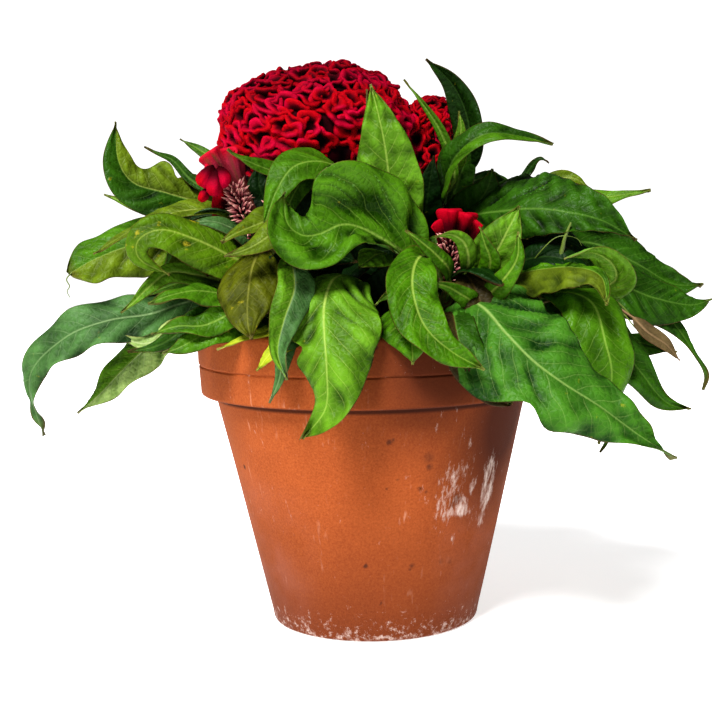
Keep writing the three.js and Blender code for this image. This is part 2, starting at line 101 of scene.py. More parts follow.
def blade(stem, at, width, face, stalk, tone, path, fold=0, **own):
    """A leaf: its stem and the part of the stem it grows from, the half widths of its two sides, the way its
    upper side looks, the part of its length that is stalk, the tone of its skin, its midrib and its fold in
    degrees. Its own fields may be peak, other_peak and tip for its outline, petiole for its stalk's radius,
    veins for the spacing of its side veins, quilt and pucker for the swelling between them, wave for its
    margins, cup for how far it hollows, half for another tone on one side, fine for a closer grid, and lists
    of lobes (side, place, span, swell), creases (side, place, width, depth) and dents (place across and
    along, width, length, depth)."""
    return dict(stem=stem, at=at, width=width, face=face, stalk=stalk, tone=tone, path=path, fold=fold, **own)


# ---- The leaves that are nodes of the model, each named as its node is, after "leaf_" ----

LEAVES = {
    "front_hanging": blade("front_shoot", 0.55, (18, 28), (-0.2, -1, 0.3), 0.22, "fresh",
        [(-2, -62, 195), (-12, -75, 202), (-19, -86, 200), (-23, -98, 188), (-23, -108, 174),
         (-22, -115, 158), (-23, -118, 138), (-35, -113, 122)],
        fold=-14, peak=0.36, veins=10, quilt=0.22, wave=0.16, fine=True,
        creases=[
            (-1, 0.02, 3, 3), (-1, 0.16, 3.4, 3.6), (-1, 0.34, 3, 2), (1, 0.12, 3, 1.6),
            (1, 0.36, 3.5, 1.8),
        ],
        lobes=[(1, 0.45, 0.05, 3), (1, 0.56, 0.03, -4), (1, 0.62, 0.04, 2), (-1, 0.3, 0.06, -2),
         (-1, 0.5, 0.06, 3)],
    ),
    "front_cupped": blade("right_shoot", 0.75, (34, 19), (0.1, -1, 0.3), 0.18, "mid",
        [(31, -62, 201), (19, -71, 213), (6, -79, 222), (-5, -85, 227.5), (-14, -90, 228.5),
         (-25, -94, 224), (-34, -97, 224), (-41, -97, 231), (-42, -94, 245)],
        fold=8, peak=0.36, other_peak=0.7, tip=1.2, veins=9, quilt=0.24, wave=0.1, cup=0.3, fine=True,
        dents=[(0.42, 0.4, 0.24, 0.12, 8), (0.62, 0.16, 0.2, 0.06, 3.5), (-0.45, 0.7, 0.2, 0.06, 3),
         (-0.5, 0.3, 0.3, 0.06, 3)],
    ),
    "crest_spear": blade("main_stem", 0.5, (19, 20), (0, -1, 0.1), 0.15, "fresh",
        [(4, -30, 215), (12, -54, 236), (11, -60, 260), (8, -60, 280), (3, -56, 302)],
        fold=8, peak=0.42, veins=8, quilt=0.06, fine=True,
    ),
    "arched_fold": blade("main_stem", 0.72, (15, 14), (-0.3, -0.9, 0.55), 0.2, "mid",
        [(-14, -30, 238), (-13, -50, 256), (-24, -64, 262), (-38, -74, 259), (-47, -80, 246),
         (-54, -84, 227)], fold=-10, veins=8,
    ),
    "under_crest": blade("main_stem", 0.88, (8, 7), (0, -0.8, 0.6), 0.3, "mid",
        [(-30, -30, 240), (-42, -52, 254), (-56, -61, 260), (-67, -65, 265), (-73, -66, 269)], fold=10,
    ),
    "left_pointed": blade("left_front_shoot", 1, (10, 9), (0, -0.7, 0.7), 0.25, "warm",
        [(-44, -62, 222), (-48, -68, 232), (-59, -76, 229), (-69, -81, 225), (-76, -83, 221)],
        fold=12, wave=0.1,
    ),
    "brown_tip": blade("left_front_shoot", 0.9, (9, 9), (0, -0.8, 0.6), 0.3, "warm",
        [(-34, -66, 221), (-37, -83, 233), (-47, -91, 226), (-60, -96, 218), (-73, -98, 214)], fold=8,
    ),
    "hanging_narrow": blade("left_front_shoot", 0.75, (10, 11), (0.3, -1, 0.4), 0.2, "bluish",
        [(-39, -66, 208), (-39, -80, 207), (-38, -94, 196), (-43, -107, 181), (-46, -113, 166),
         (-42, -113, 152)], fold=10, wave=0.14, half=("fresh", 1),
    ),
    "olive_broad": blade("left_front_shoot", 0.85, (17, 16), (-0.2, -1, 0.5), 0.2, "olive",
        [(-55, -62, 216), (-60, -78, 209), (-62, -92, 194), (-62, -100, 181), (-60, -103, 172)],
        fold=-8, peak=0.55, veins=7,
    ),
    "glossy_dark": blade("front_shoot", 0.95, (11, 11), (0, -0.6, 0.8), 0.2, "fresh",
        [(12, -58, 211), (6, -68, 213), (0, -78, 210), (-5, -86, 206)], fold=-10, quilt=0.16,
    ),
    "light_curved": blade("right_shoot", 0.92, (14, 13), (0.1, -1, 0.4), 0.12, "young",
        [(36, -68, 207), (28, -82, 212), (23, -94, 206), (22, -104, 194), (27, -114, 178), (39, -120, 166),
         (56, -121, 156)], fold=6, peak=0.5, wave=0.16, quilt=0.14, fine=True,
    ),
    "over_rim": blade("front_shoot", 0.35, (17, 17), (0, -0.85, 0.5), 0.3, "young",
        [(16, -66, 183), (19, -84, 180), (20, -99, 175.5), (21, -108, 166), (21, -109, 158)],
        fold=-6, peak=0.5,
    ),
    "upright_point": blade("right_shoot", 0.97, (12, 13), (0, -1, 0.2), 0.2, "fresh",
        [(58, -67, 202), (66, -76, 212), (73, -79, 225), (79, -76, 236)], fold=8,
    ),
    "rolled": blade("right_shoot", 0.62, (18, 9), (0.36, -0.74, 0.57), 0.15, "young",
        [(57, -54, 194), (74, -57, 199), (92, -67, 203), (108, -86, 204), (118, -97, 199), (120, -99, 185)],
        fold=-16, peak=0.5, veins=8, half=("turned", 1),
    ),
    "front_large": blade("right_shoot", 0.35, (31, 33), (0.1, -1, 0.6), 0.16, "cool",
        [(48, -70, 187), (58, -91, 185), (68, -106, 173), (80, -115, 160), (94, -119, 149),
         (112, -120, 137), (132, -119, 122), (152, -115, 109)],
        fold=-8, peak=0.3, tip=1.3, veins=11, quilt=0.16, wave=0.14, pucker=0.7, fine=True,
        creases=[
            (1, 0.06, 5, 2), (1, 0.24, 5, 1.8), (1, 0.46, 4, 1.5), (-1, 0.04, 4.5, 3.4),
            (-1, 0.16, 4.5, 3.6), (-1, 0.4, 5, 2),
        ],
        lobes=[(1, 0.1, 0.07, 8), (1, 0.24, 0.035, -5), (1, 0.4, 0.07, 4), (1, 0.53, 0.04, -5),
         (1, 0.62, 0.05, 3), (-1, 0.15, 0.06, 3), (-1, 0.3, 0.05, -2)],
    ),
    "right_under": blade("right_low_shoot", 0.5, (18, 17), (0.3, -1, 0.3), 0.3, "mid",
        [(88, -46, 186), (106, -64, 190), (117, -78, 184), (121, -88, 166), (124, -90, 146),
         (118, -84, 112)], fold=-6, veins=9,
    ),
    "right_curl": blade("right_low_shoot", 0.78, (12, 12), (0.3, -0.9, 0.3), 0.25, "fresh",
        [(106, -43, 193), (121, -53, 191), (131, -62, 196), (128, -70, 205), (116, -78, 211),
         (101, -82, 208)], fold=10,
    ),
    "right_large": blade("right_back_shoot", 0.72, (15, 32), (0, -1, 0.5), 0.22, "deep",
        [(58, -8, 232), (72, -36, 234), (88, -50, 235), (105, -58, 233), (124, -61, 228), (143, -59, 217)],
        fold=-18, peak=0.42, veins=9, quilt=0.14, pucker=0.7, other_peak=0.3, fine=True,
        lobes=[(-1, 0.12, 0.1, 8), (1, 0.3, 0.1, 2)],
        creases=[(-1, 0.1, 3.5, 2.2), (-1, 0.3, 3.5, 2.2), (-1, 0.5, 3.5, 1.8), (1, 0.3, 4, 1.6)],
    ),
    "right_arched": blade("right_back_shoot", 0.8, (13, 10), (-0.2, -0.72, 0.75), 0.2, "mid",
        [(44, 2, 240), (44, -16, 251), (50, -27, 265), (65, -32, 276), (85, -30, 275), (103, -27, 270)],
        fold=25, veins=8, half=("deep", -1),
        lobes=[(1, 0.25, 0.15, 4), (-1, 0.25, 0.15, 3)],
    ),
    "back_tall": blade("right_back_shoot", 0.9, (10, 10), (-0.5, -1, 0.1), 0.2, "dark",
        [(58, 14, 258), (60, 6, 276), (57, 4, 293), (49, 2, 308), (35, 0, 321)],
        fold=20, veins=5, quilt=0.14,
    ),
    "right_light": blade("right_back_shoot", 0.6, (9, 8), (0, -0.7, 0.8), 0.35, "fresh",
        [(66, 12, 222), (98, 2, 231), (122, -8, 239), (138, -13, 241), (159, -18, 244)], fold=6, peak=0.35,
        lobes=[(1, 0.55, 0.12, 4), (-1, 0.5, 0.15, 3)],
    ),
    "far_right_upper": blade("right_low_shoot", 0.98, (19, 16), (0.1, -1, 0.6), 0.15, "deep",
        [(100, -18, 214), (127, -12, 215), (152, -12, 203), (173, -10, 191), (191, -8, 190)],
        fold=-8, peak=0.45, wave=0.16,
    ),
    "far_right_lower": blade("right_low_shoot", 0.88, (15, 15), (0.1, -1, 0.6), 0.25, "deep",
        [(104, -28, 197), (133, -36, 194), (156, -36, 185), (178, -32, 180), (191, -29, 183)],
        fold=-6, peak=0.5, wave=0.14,
    ),
    "right_tendril": blade("right_low_shoot", 0.62, (11, 12), (0.3, -0.8, 0.6), 0.25, "deep",
        [(106, -34, 185), (138, -34, 184), (166, -33, 172), (181, -34, 151), (186, -36, 141),
         (184, -38, 133)], fold=-6, peak=0.3, tip=1.8,
    ),
    "right_dark": blade("right_low_shoot", 0.4, (13, 12), (0.1, -0.7, 0.8), 0.3, "deep",
        [(86, -36, 176), (112, -48, 169), (144, -56, 162), (166, -52, 156)], fold=6, wave=0.2,
    ),
    "right_low": blade("right_low_shoot", 0.26, (14, 14), (0.2, -0.8, 0.5), 0.35, "deep",
        [(78, -44, 178), (104, -64, 178), (126, -72, 168), (141, -76, 149), (155, -74, 132),
         (169, -69, 127)], fold=-4, wave=0.12,
    ),
    # its lower half takes the deep tone as painted shade
    "left_curled_tip": blade("left_shoot", 0.92, (14, 17), (0.1, -1, 0.4), 0.15, "warm",
        [(-76, -22, 237), (-93, -20, 242), (-112, -23, 248), (-130, -25, 254), (-138, -25, 267),
         (-139, -22, 288)], fold=14, peak=0.4, veins=8, wave=0.14, half=("deep", -1), fine=True,
        lobes=[(1, 0.3, 0.05, 3), (1, 0.4, 0.03, -5), (1, 0.5, 0.06, 3), (-1, 0.3, 0.1, 2)],
        creases=[(1, 0.1, 3, 1.6), (1, 0.25, 3, 1.6)],
    ),
    "left_big": blade("left_shoot", 0.55, (20, 20), (0, -1, 0.5), 0.15, "mid",
        [(-74, -14, 218), (-96, -8, 224), (-118, -10, 223), (-136, -13, 219), (-155, -16, 212),
         (-170, -17, 204)], fold=-10, peak=0.5, tip=0.7, veins=10, wave=0.1, half=("warm", -1), fine=True,
        lobes=[(1, 0.9, 0.07, 4), (-1, 0.9, 0.07, 5)],
        creases=[(1, 0.3, 4, 2), (-1, 0.2, 4, 2), (-1, 0.5, 4, 2)],
    ),
    "left_long": blade("left_shoot", 0.78, (10, 9), (0, -0.5, 1), 0.12, "warm",
        [(-66, -44, 230), (-80, -50, 237), (-96, -55, 238), (-112, -58, 234), (-130, -58, 226),
         (-148, -55, 216)], fold=8,
    ),
    "left_spotted": blade("left_front_shoot", 0.62, (13, 14), (-0.4, -0.75, 0.5), 0.1, "spotted",
        [(-56, -58, 203), (-74, -68, 214), (-91, -75, 223), (-107, -79, 228), (-119, -80, 223),
         (-119, -79, 213), (-104, -77, 204)], fold=-8, peak=0.4, veins=7,
        creases=[(1, 0.2, 3, 1.6), (-1, 0.3, 3, 1.8), (-1, 0.5, 3, 1.5)],
    ),
    "left_narrow": blade("left_shoot", 0.42, (6, 7), (-0.2, -0.9, 0.4), 0.3, "fresh",
        [(-70, -44, 196), (-92, -56, 203), (-106, -63, 205), (-116, -71, 198), (-123, -76, 191),
         (-130, -78, 185)], fold=10,
    ),
    "left_bottom_big": blade("left_shoot", 0.25, (14, 14), (-0.5, -0.85, 0.4), 0.1, "bluish",
        [(-62, -36, 187), (-86, -47, 191), (-101, -54, 188), (-118, -60, 183), (-141, -64, 180),
         (-164, -64, 171), (-184, -60, 150), (-180, -53, 117)],
        fold=5, peak=0.5, veins=9, wave=0.16, fine=True,
    ),
    "left_arch": blade("left_front_shoot", 0.45, (11, 10), (0, -0.7, 0.8), 0.2, "mid",
        [(-62, -62, 186), (-76, -71, 193), (-90, -80, 196), (-103, -86, 194), (-114, -88, 190)],
        fold=-14, wave=0.16,
    ),
    "left_pale_hanging": blade("left_shoot", 0.15, (13, 12), (-0.4, -0.9, 0.4), 0.45, "pale",
        [(-32, -36, 172), (-60, -38, 177), (-88, -40, 177), (-106, -42, 174), (-121, -44, 165),
         (-136, -46, 152), (-148, -46, 140), (-162, -45, 128)],
        fold=4, peak=0.45, wave=0.16, half=("fresh", 1),
        creases=[(1, 0.1, 3, 3), (-1, 0.3, 3, 3), (1, 0.4, 3, 3)],
    ),
    "left_rim": blade("left_front_shoot", 0.22, (13, 12), (-0.1, -0.8, 0.7), 0.25, "mid",
        [(-58, -58, 178), (-76, -72, 178), (-89, -80, 172), (-99, -84, 167), (-108, -84, 164)],
        fold=-6, wave=0.1,
    ),
    "back_left_high": blade("left_back_shoot", 0.95, (20, 20), (-0.4, 0.5, 1), 0.15, "deep",
        [(-80, 54, 238), (-104, 70, 238), (-128, 84, 226), (-148, 94, 204)], fold=10, peak=0.4,
    ),
    "back_left_mid": blade("left_back_shoot", 0.6, (20, 20), (-0.4, 0.3, 1), 0.2, "deep",
        [(-76, 36, 208), (-106, 42, 206), (-136, 46, 190), (-160, 48, 164)], fold=-8,
    ),
    "back_left_up": blade("left_back_shoot", 0.8, (16, 16), (0, 1, 0.4), 0.15, "deep",
        [(-60, 62, 226), (-66, 80, 240), (-72, 98, 244), (-80, 116, 234)], fold=14,
    ),
    "back_centre": blade("back_shoot", 0.92, (22, 22), (0, 0.8, 0.8), 0.15, "deep",
        [(-6, 76, 234), (-10, 98, 236), (-14, 116, 224), (-16, 128, 198)], fold=-8, peak=0.38,
    ),
    "back_low": blade("back_shoot", 0.3, (17, 17), (-0.2, 0.8, 0.8), 0.2, "deep",
        [(-16, 66, 180), (-30, 88, 181), (-42, 106, 170), (-50, 118, 146)], fold=-4,
    ),
    "back_mid": blade("back_shoot", 0.6, (18, 18), (0.2, 0.8, 0.8), 0.2, "deep",
        [(12, 70, 204), (28, 90, 202), (40, 108, 186), (46, 120, 160)], fold=-8,
    ),
    "back_right_high": blade("right_back_shoot", 0.66, (20, 19), (0.4, 0.5, 1), 0.15, "deep",
        [(60, 44, 232), (80, 64, 240), (100, 82, 234), (118, 96, 214)], fold=8,
    ),
    "back_right_low": blade("right_back_shoot", 0.4, (20, 20), (0.4, 0.6, 1), 0.2, "deep",
        [(58, 42, 200), (84, 62, 200), (108, 78, 186), (130, 88, 160)], fold=-8,
    ),
    "right_side": blade("right_low_shoot", 0.72, (19, 19), (0.5, 0.5, 1), 0.2, "deep",
        [(100, 2, 204), (126, 16, 206), (150, 26, 190), (170, 30, 166)], fold=8,
    ),
}

# Small leaves that only fill out the plant; those in the shaded tone are dark sheets of painted shade in its
# gaps
YOUNG_LEAVES = {
    "rim_tongue_left": blade("left_front_shoot", 0.12, (6, 5), (-0.2, -0.8, 0.7), 0.3, "yellow",
        [(-46, -78, 175), (-54, -90, 174.5), (-66, -93, 171.5), (-79, -90, 166)],
    ),
    "rim_tongue_yellow": blade("left_front_shoot", 0.1, (9, 9), (-0.2, -0.9, 0.4), 0.3, "yellow",
        [(-34, -72, 171), (-41, -92, 170.5), (-50, -100.5, 165), (-58, -102.5, 156)], tip=0.9,
    ),
    "rim_tip_narrow": blade("left_front_shoot", 0.16, (6, 6), (-0.2, -1, 0.3), 0.3, "bluish",
        [(-36, -80, 175), (-41, -94, 173), (-44, -101, 163), (-47, -102, 150), (-52, -101, 139)],
    ),
    "spike_left_of_crest": blade("left_shoot", 0.96, (4.5, 4.5), (0, -0.8, 0.6), 0.4, "mid",
        [(-70, -24, 250), (-80, -14, 262), (-94, -8, 272), (-106, -4, 279)],
    ),
    "curl_on_left_leaf": blade("left_shoot", 0.9, (3.5, 3), (0, -1, 0.3), 0.35, "deep",
        [(-80, -26, 244), (-98, -22, 255), (-108, -20, 266), (-116, -20, 270), (-124, -20, 274)],
    ),
    "tip_behind_left": blade("left_shoot", 0.84, (7, 6), (0, -0.8, 0.6), 0.3, "fresh",
        [(-96, -2, 228), (-118, 4, 238), (-138, 10, 243), (-154, 14, 249)],
    ),
    "sliver_by_spear": blade("main_stem", 0.6, (2.4, 2.4), (0, -1, 0.1), 0.3, "deep",
        [(0, -30, 226), (4, -50, 246), (3, -56, 268), (1, -56, 284), (1, -52, 300)],
    ),
    "blade_before_back_crest": blade("right_back_shoot", 0.86, (3.4, 3), (-0.3, -1, 0.1), 0.2, "mid",
        [(50, 0, 252), (48, -5, 265), (41, -8, 282), (31, -9, 297), (22, -8, 309)],
    ),
    "small_oval_back": blade("right_back_shoot", 0.94, (5, 5), (-0.1, -1, 0.1), 0.2, "fresh",
        [(52, 6, 262), (53, -3, 272), (54, -6, 282), (53, -6, 291)],
    ),
    "dried_leaf_right": blade("right_low_shoot", 0.5, (5.5, 5), (0.2, -0.9, 0.4), 0.74, "dry",
        [(100, -48, 190), (120, -58, 188), (138, -60, 178), (148, -62, 168), (158, -62, 161),
         (166, -60, 152)], fold=20, petiole=0.7,
    ),
    "pale_curl_left": blade("left_shoot", 0.12, (9, 8), (-0.2, -1, 0.2), 0.2, "pale",
        [(-72, -58, 176), (-88, -66, 176), (-104, -68, 174), (-120, -70, 168), (-138, -66, 174)], wave=0.3,
    ),
    "curl_yellow_right": blade("right_back_shoot", 0.62, (6, 6), (0, -0.9, 0.5), 0.5, "warm",
        [(84, 14, 236), (98, 12, 246), (110, 10, 252), (121, 8, 252), (129, 6, 245)], wave=0.2,
    ),
    "curl_dark_right": blade("right_back_shoot", 0.7, (3, 2.6), (0, -0.9, 0.4), 0.6, "dark",
        [(74, 12, 236), (86, 9, 246), (94, 7, 258), (100, 5, 264), (105, 4, 261)], wave=0.3, petiole=0.7,
    ),
    "inner_right_dark": blade("right_back_shoot", 0.5, (14, 13), (0, -0.9, 0.5), 0.2, "shaded",
        [(66, -10, 214), (84, -34, 222), (104, -42, 219), (126, -44, 207)],
    ),
    "inner_right_low": blade("right_low_shoot", 0.66, (13, 13), (0, -0.8, 0.6), 0.25, "shaded",
        [(80, -44, 204), (92, -56, 209), (106, -62, 207), (122, -62, 198)],
    ),
    "inner_left_blue": blade("left_shoot", 0.66, (7, 7), (0, -0.7, 0.7), 0.2, "bluish",
        [(-62, -52, 220), (-72, -62, 228), (-84, -66, 232), (-97, -66, 230)],
    ),
    "tongue_by_cup": blade("right_shoot", 0.86, (5, 5), (0.1, -1, 0.4), 0.25, "young",
        [(42, -76, 203), (35, -84, 212), (27, -88, 219), (19, -89, 225)],
    ),
    "tongue_mid_right": blade("right_shoot", 0.5, (6, 6), (0, -1, 0.4), 0.3, "young",
        [(52, -82, 186), (45, -92, 193), (37, -97, 197), (29, -98, 197)],
    ),
    "tongue_under_comb": blade("right_shoot", 0.99, (5, 5), (-0.2, -0.9, 0.4), 0.2, "fresh",
        [(52, -74, 206), (50, -82, 217), (43, -86, 222), (34, -87, 221)],
    ),
    "shoot_tip_left": blade("right_shoot", 0.96, (6, 6), (-0.2, -1, 0.2), 0.2, "young",
        [(60, -72, 199), (63, -81, 208), (60, -85, 217), (57, -85, 226)],
    ),
    "shoot_tip_right": blade("right_shoot", 0.88, (7, 6), (-0.1, -1, 0.3), 0.2, "young",
        [(60, -80, 190), (69, -89, 199), (76, -90, 210), (77, -87, 223)],
    ),
    "curled_tip_low": blade("right_low_shoot", 0.3, (5, 4), (0.2, -1, 0.2), 0.5, "deep",
        [(88, -52, 168), (104, -68, 158), (115, -76, 142), (121, -80, 126), (123, -82, 114),
         (119, -83, 107)],
    ),
    "small_frill_front": blade("front_shoot", 0.62, (6, 5), (0, -0.9, 0.5), 0.3, "young",
        [(22, -72, 182), (17, -84, 190), (10, -89, 192), (3, -91, 187)], wave=0.25,
    ),
    "small_bud_front": blade("front_shoot", 0.8, (4, 4), (0.3, -1, 0.3), 0.3, "young",
        [(25, -70, 196), (25, -82, 198), (23, -88, 202), (20, -88, 208)],
    ),
    "maroon_leaf": blade("right_shoot", 0.9, (10, 9), (0.2, -1, 0.2), 0.18, "maroon",
        [(50, -70, 201), (54, -81, 196), (58, -86, 185), (62, -88, 172)], peak=0.5,
    ),
    "dark_under_left": blade("left_front_shoot", 0.3, (9, 9), (-0.1, -0.8, 0.6), 0.2, "deep",
        [(-58, -54, 182), (-72, -62, 184), (-88, -66, 181), (-104, -66, 176)],
    ),
    "inner_centre_high": blade("main_stem", 0.3, (17, 17), (0.1, -1, 0.2), 0.2, "shaded",
        [(-18, -20, 196), (-8, -34, 208), (8, -38, 214), (28, -36, 212)],
    ),
    "inner_centre_left": blade("left_front_shoot", 0.66, (14, 14), (0, -1, 0.3), 0.2, "shaded",
        [(-42, -46, 206), (-34, -52, 214), (-22, -54, 215), (-6, -54, 208)],
    ),
    "inner_centre_low": blade("front_shoot", 0.45, (15, 15), (0, -1, 0.3), 0.2, "shaded",
        [(8, -54, 182), (10, -62, 190), (13, -66, 200), (16, -66, 213)],
    ),
    "inner_centre_right": blade("front_shoot", 0.7, (14, 13), (0.2, -1, 0.2), 0.2, "mid",
        [(28, -52, 198), (38, -54, 208), (48, -52, 218), (52, -46, 229)],
    ),
    "inner_back_stem": blade("right_back_shoot", 0.5, (11, 11), (0, -1, 0.1), 0.15, "shaded",
        [(34, 6, 222), (33, -8, 234), (35, -14, 249), (38, -16, 266)],
    ),
    "inner_back_right": blade("right_back_shoot", 0.64, (15, 14), (0.1, -1, 0.2), 0.2, "deep",
        [(50, 6, 223), (60, -6, 235), (68, -12, 247), (71, -12, 258)],
    ),
    "inner_left_high": blade("left_shoot", 0.7, (14, 14), (0, -1, 0.2), 0.2, "shaded",
        [(-44, -40, 222), (-34, -48, 234), (-28, -50, 246), (-24, -48, 258)],
    ),
    "inner_back_gap": blade("right_back_shoot", 0.78, (9, 9), (0, -1, 0.1), 0.15, "deep",
        [(50, 14, 244), (54, 12, 254), (57, 10, 264), (58, 9, 275)],
    ),
    "arched_fold_half": blade("main_stem", 0.86, (10, 10), (-0.1, -1, 0.2), 0.2, "mid",
        [(-24, -44, 262), (-32, -54, 256), (-38, -60, 247), (-43, -63, 236), (-47, -65, 224)], fold=8,
    ),
    "inner_left_cover": blade("left_shoot", 0.6, (10, 10), (0, -1, 0.1), 0.15, "shaded",
        [(-50, -36, 218), (-47, -44, 230), (-45, -46, 242), (-43, -44, 254)],
    ),
    "inner_left_gap": blade("left_shoot", 0.86, (10, 10), (0, -1, 0.1), 0.15, "shaded",
        [(-54, -30, 232), (-57, -27, 242), (-60, -26, 252), (-60, -25, 263)],
    ),
    "lobe_below_large": blade("right_shoot", 0.2, (10, 11), (-0.1, -1, 0.2), 0.25, "deep",
        [(43, -74, 181), (43, -94, 180), (45, -106, 168), (51, -111, 155), (61, -112, 143), (70, -110, 137)],
        peak=0.6, tip=0.6, half=("maroon", 1),
    ),
    "fold_left_mid": blade("left_front_shoot", 0.4, (9, 8), (-0.1, -0.9, 0.3), 0.25, "mid",
        [(-58, -66, 190), (-72, -76, 184), (-86, -82, 178), (-100, -84, 178), (-114, -82, 174)], wave=0.2,
    ),
    "dark_fold_left": blade("left_shoot", 0.2, (8, 8), (-0.1, -0.9, 0.3), 0.25, "deep",
        [(-60, -52, 180), (-78, -64, 182), (-94, -72, 178), (-110, -76, 168), (-128, -74, 164)], wave=0.2,
    ),
    "folded_left_low": blade("left_shoot", 0.34, (10, 10), (-0.1, -0.8, 0.6), 0.2, "mid",
        [(-66, -34, 194), (-84, -44, 199), (-102, -50, 199), (-124, -52, 192)], fold=16,
    ),
}

# ---- Looks ----

XYZ = ("X", "Y", "Z")
# Each tone of leaf, above and then below: darker and lighter green, vein, and roughness
SKINS = {
    "fresh": (("#1c3600", "#5e8a1e", "#a4b85c", 0.4), ("#466f22", "#719a3c", "#a3b870", 0.55)),
    "mid": (("#163400", "#4a7612", "#88a44a", 0.38), ("#386424", "#5c8838", "#93aa66", 0.55)),
    "warm": (("#1e2a00", "#667c18", "#98a454", 0.4), ("#44601c", "#72883a", "#a2ac66", 0.55)),
    "cool": (("#12320a", "#40701e", "#8ea65e", 0.42), ("#2c5620", "#4e7c38", "#88a064", 0.52)),
    "spotted": (("#142600", "#56780e", "#94a44c", 0.4), ("#44601c", "#72883a", "#a2ac66", 0.55)),
    "deep": (("#081c02", "#30580e", "#5e8034", 0.42), ("#274f1a", "#47732e", "#7c9656", 0.5)),
    "dark": (("#071402", "#1c3a0a", "#34501e", 0.4), ("#142a0c", "#2c4a18", "#4a6a34", 0.5)),
    # shaded is painted shade: a darker copy of the greens for leaves deep inside the plant
    "shaded": (("#030e02", "#12300a", "#2a4416", 0.46), ("#0c2006", "#1c3c10", "#33501e", 0.55)),
    "turned": (("#303e0a", "#607018", "#747e30", 0.5), ("#2c3a08", "#4c5c18", "#6a7632", 0.55)),
    "bluish": (("#182e12", "#4c723c", "#88a070", 0.42), ("#3f6a44", "#668c60", "#98ae84", 0.58)),
    "olive": (("#1e2400", "#565c0c", "#86863c", 0.46), ("#515a26", "#787c40", "#a3a36a", 0.6)),
    "young": (("#102c00", "#48760c", "#94aa4c", 0.4), ("#5f8f28", "#8cb446", "#bccc7c", 0.52)),
    "yellow": (("#6f8a12", "#a9b028", "#c8cc5a", 0.42), ("#86962c", "#b2b84c", "#ccd080", 0.55)),
    "pale": (("#46661c", "#a4bc70", "#d4dcb0", 0.28), ("#7c9a5c", "#b3c493", "#d2d9b4", 0.55)),
    "dry": (("#33291a", "#6a5a3a", "#8c7456", 0.6), ("#6a5538", "#94805a", "#a5946e", 0.65)),
    "maroon": (("#1a0e0c", "#3a3416", "#5a4a24", 0.42), ("#3a2018", "#5a3a26", "#6e5638", 0.5)),
}
# How much of a tone's skin has turned yellow
YELLOWED = {"olive": 0.02, "spotted": 0.07}
BACK_TONES = ("deep", "mid", "deep", "fresh", "bluish", "mid")

# Pits and soot smudges in the front of the pot's wall: how far right, how high, how wide, how dark
POT_MARKS = (
    (9, 115, 1.8, 0.7), (11, 116, 1.2, 0.6), (30, 105, 3.4, 0.4), (30, 100, 2.2, 0.6), (25, 88, 1.6, 0.7),
    (28, 86, 1.0, 0.5), (45, 80, 4.2, 0.5), (43, 77, 3.0, 0.4), (20, 44, 1.6, 0.6), (19, 42, 0.9, 0.5),
    (7, 89, 0.9, 0.6), (13, 94, 0.9, 0.5), (36, 44, 1.6, 0.35), (41, 43, 1.6, 0.3), (1, 170, 1.4, 0.7),
    (3, 166, 1.2, 0.8),
)

# ---- Small growth and crests ----

# The stems at the back: where round them leaves grow, as two angles, and at what heights
BACK_SHOOTS = (
    ("left_back_shoot", 1.5, 3.6, (178, 186, 196, 205, 213, 222)),
    ("back_shoot", 0.7, 2.5, (176, 184, 193, 202, 211, 220, 228)),
    ("right_back_shoot", -0.1, 1.6, (182, 194, 206, 219, 232, 244)),
    ("right_low_shoot", -0.3, 1.1, (170, 178, 187, 196)),
    ("left_shoot", 2.2, 3.5, (192, 202, 214, 226)),
    ("main_stem", 0.6, 2.6, (200, 214, 226)),
)
# Thin threads: dried leaf tips, tendrils and stalks, each with its radius at the foot
TENDRILS = {
    "thread_left_tip": (
        0.45,
        [(-168, -16, 205), (-171, -18, 201), (-169.5, -18, 197), (-171, -18, 194), (-169.5, -18, 190.5)],
    ),
    "tendril_right": (
        0.45,
        [(88, -52, 206), (93, -58, 213), (98.6, -60, 218.4), (104, -61, 220), (111, -61, 218.4),
         (113.5, -61, 214.5)],
    ),
    "leaflet_right": (1.5, [(102, -58, 207), (103.5, -60, 214), (104.5, -61, 219), (107.7, -62, 227)]),
    "petiole_right_upper": (
        0.9, [(108, -56, 189), (122, -56, 189), (134, -58, 183), (143, -60, 172), (150, -61, 164)],
    ),
    "petiole_right_lower": (
        0.7, [(108, -56, 187), (120, -58, 183), (133, -60, 180), (142, -61, 170), (147, -61, 165)],
    ),
}
THREAD_STEPS, THREAD_SIDES = 60, 8
NECK_STEPS = 200
PROFILE_STEPS = 300
DOME_GRID = 90
# Each domed crest: its stem, squash, how far its flesh lies under its folds, the spacing of the folds by
# their height from 0 to 1, its seed, and its profile
CRESTS = {
    "main_crest": (
        "main_stem", (1, 0.8), 5.5, ([0, 0.3, 0.7, 1], [16.5, 14.2, 10.8, 8.6]), 5,
        [(0, 83.5), (17, 81.5), (33, 75), (47, 64), (55, 50), (56, 36), (51, 24), (40, 16), (17, 8), (6, 1)],
    ),
    "back_crest": (
        "right_back_shoot", (1, 1.25), 3.0, ([0, 0.5, 1], [9.0, 8.4, 7.4]), 8,
        [(0, 45), (7, 44), (13, 40), (17.5, 30), (17, 20), (12, 10), (5, 1)],
    ),
}
# A fold from the bottom of its hollow over the lip to its foot: radius, height, how far it ruffles, and tone
# the tone is painted shade: darkest in the hollow and under the foot, lightest at the lip
CUP_PROFILE = np.array([
    (0.04, -0.6, 0.0, 0.0), (0.2, -0.42, 0.1, 0.02), (0.3, -0.08, 0.25, 0.12), (0.46, 0.16, 0.5, 0.36),
    (0.7, 0.32, 0.8, 0.7), (0.93, 0.42, 1.0, 0.97), (1.08, 0.38, 1.0, 1.0), (1.13, 0.22, 1.0, 0.8),
    (1.03, 0.02, 0.9, 0.36), (0.6, -0.9, 0.2, 0.0),
])
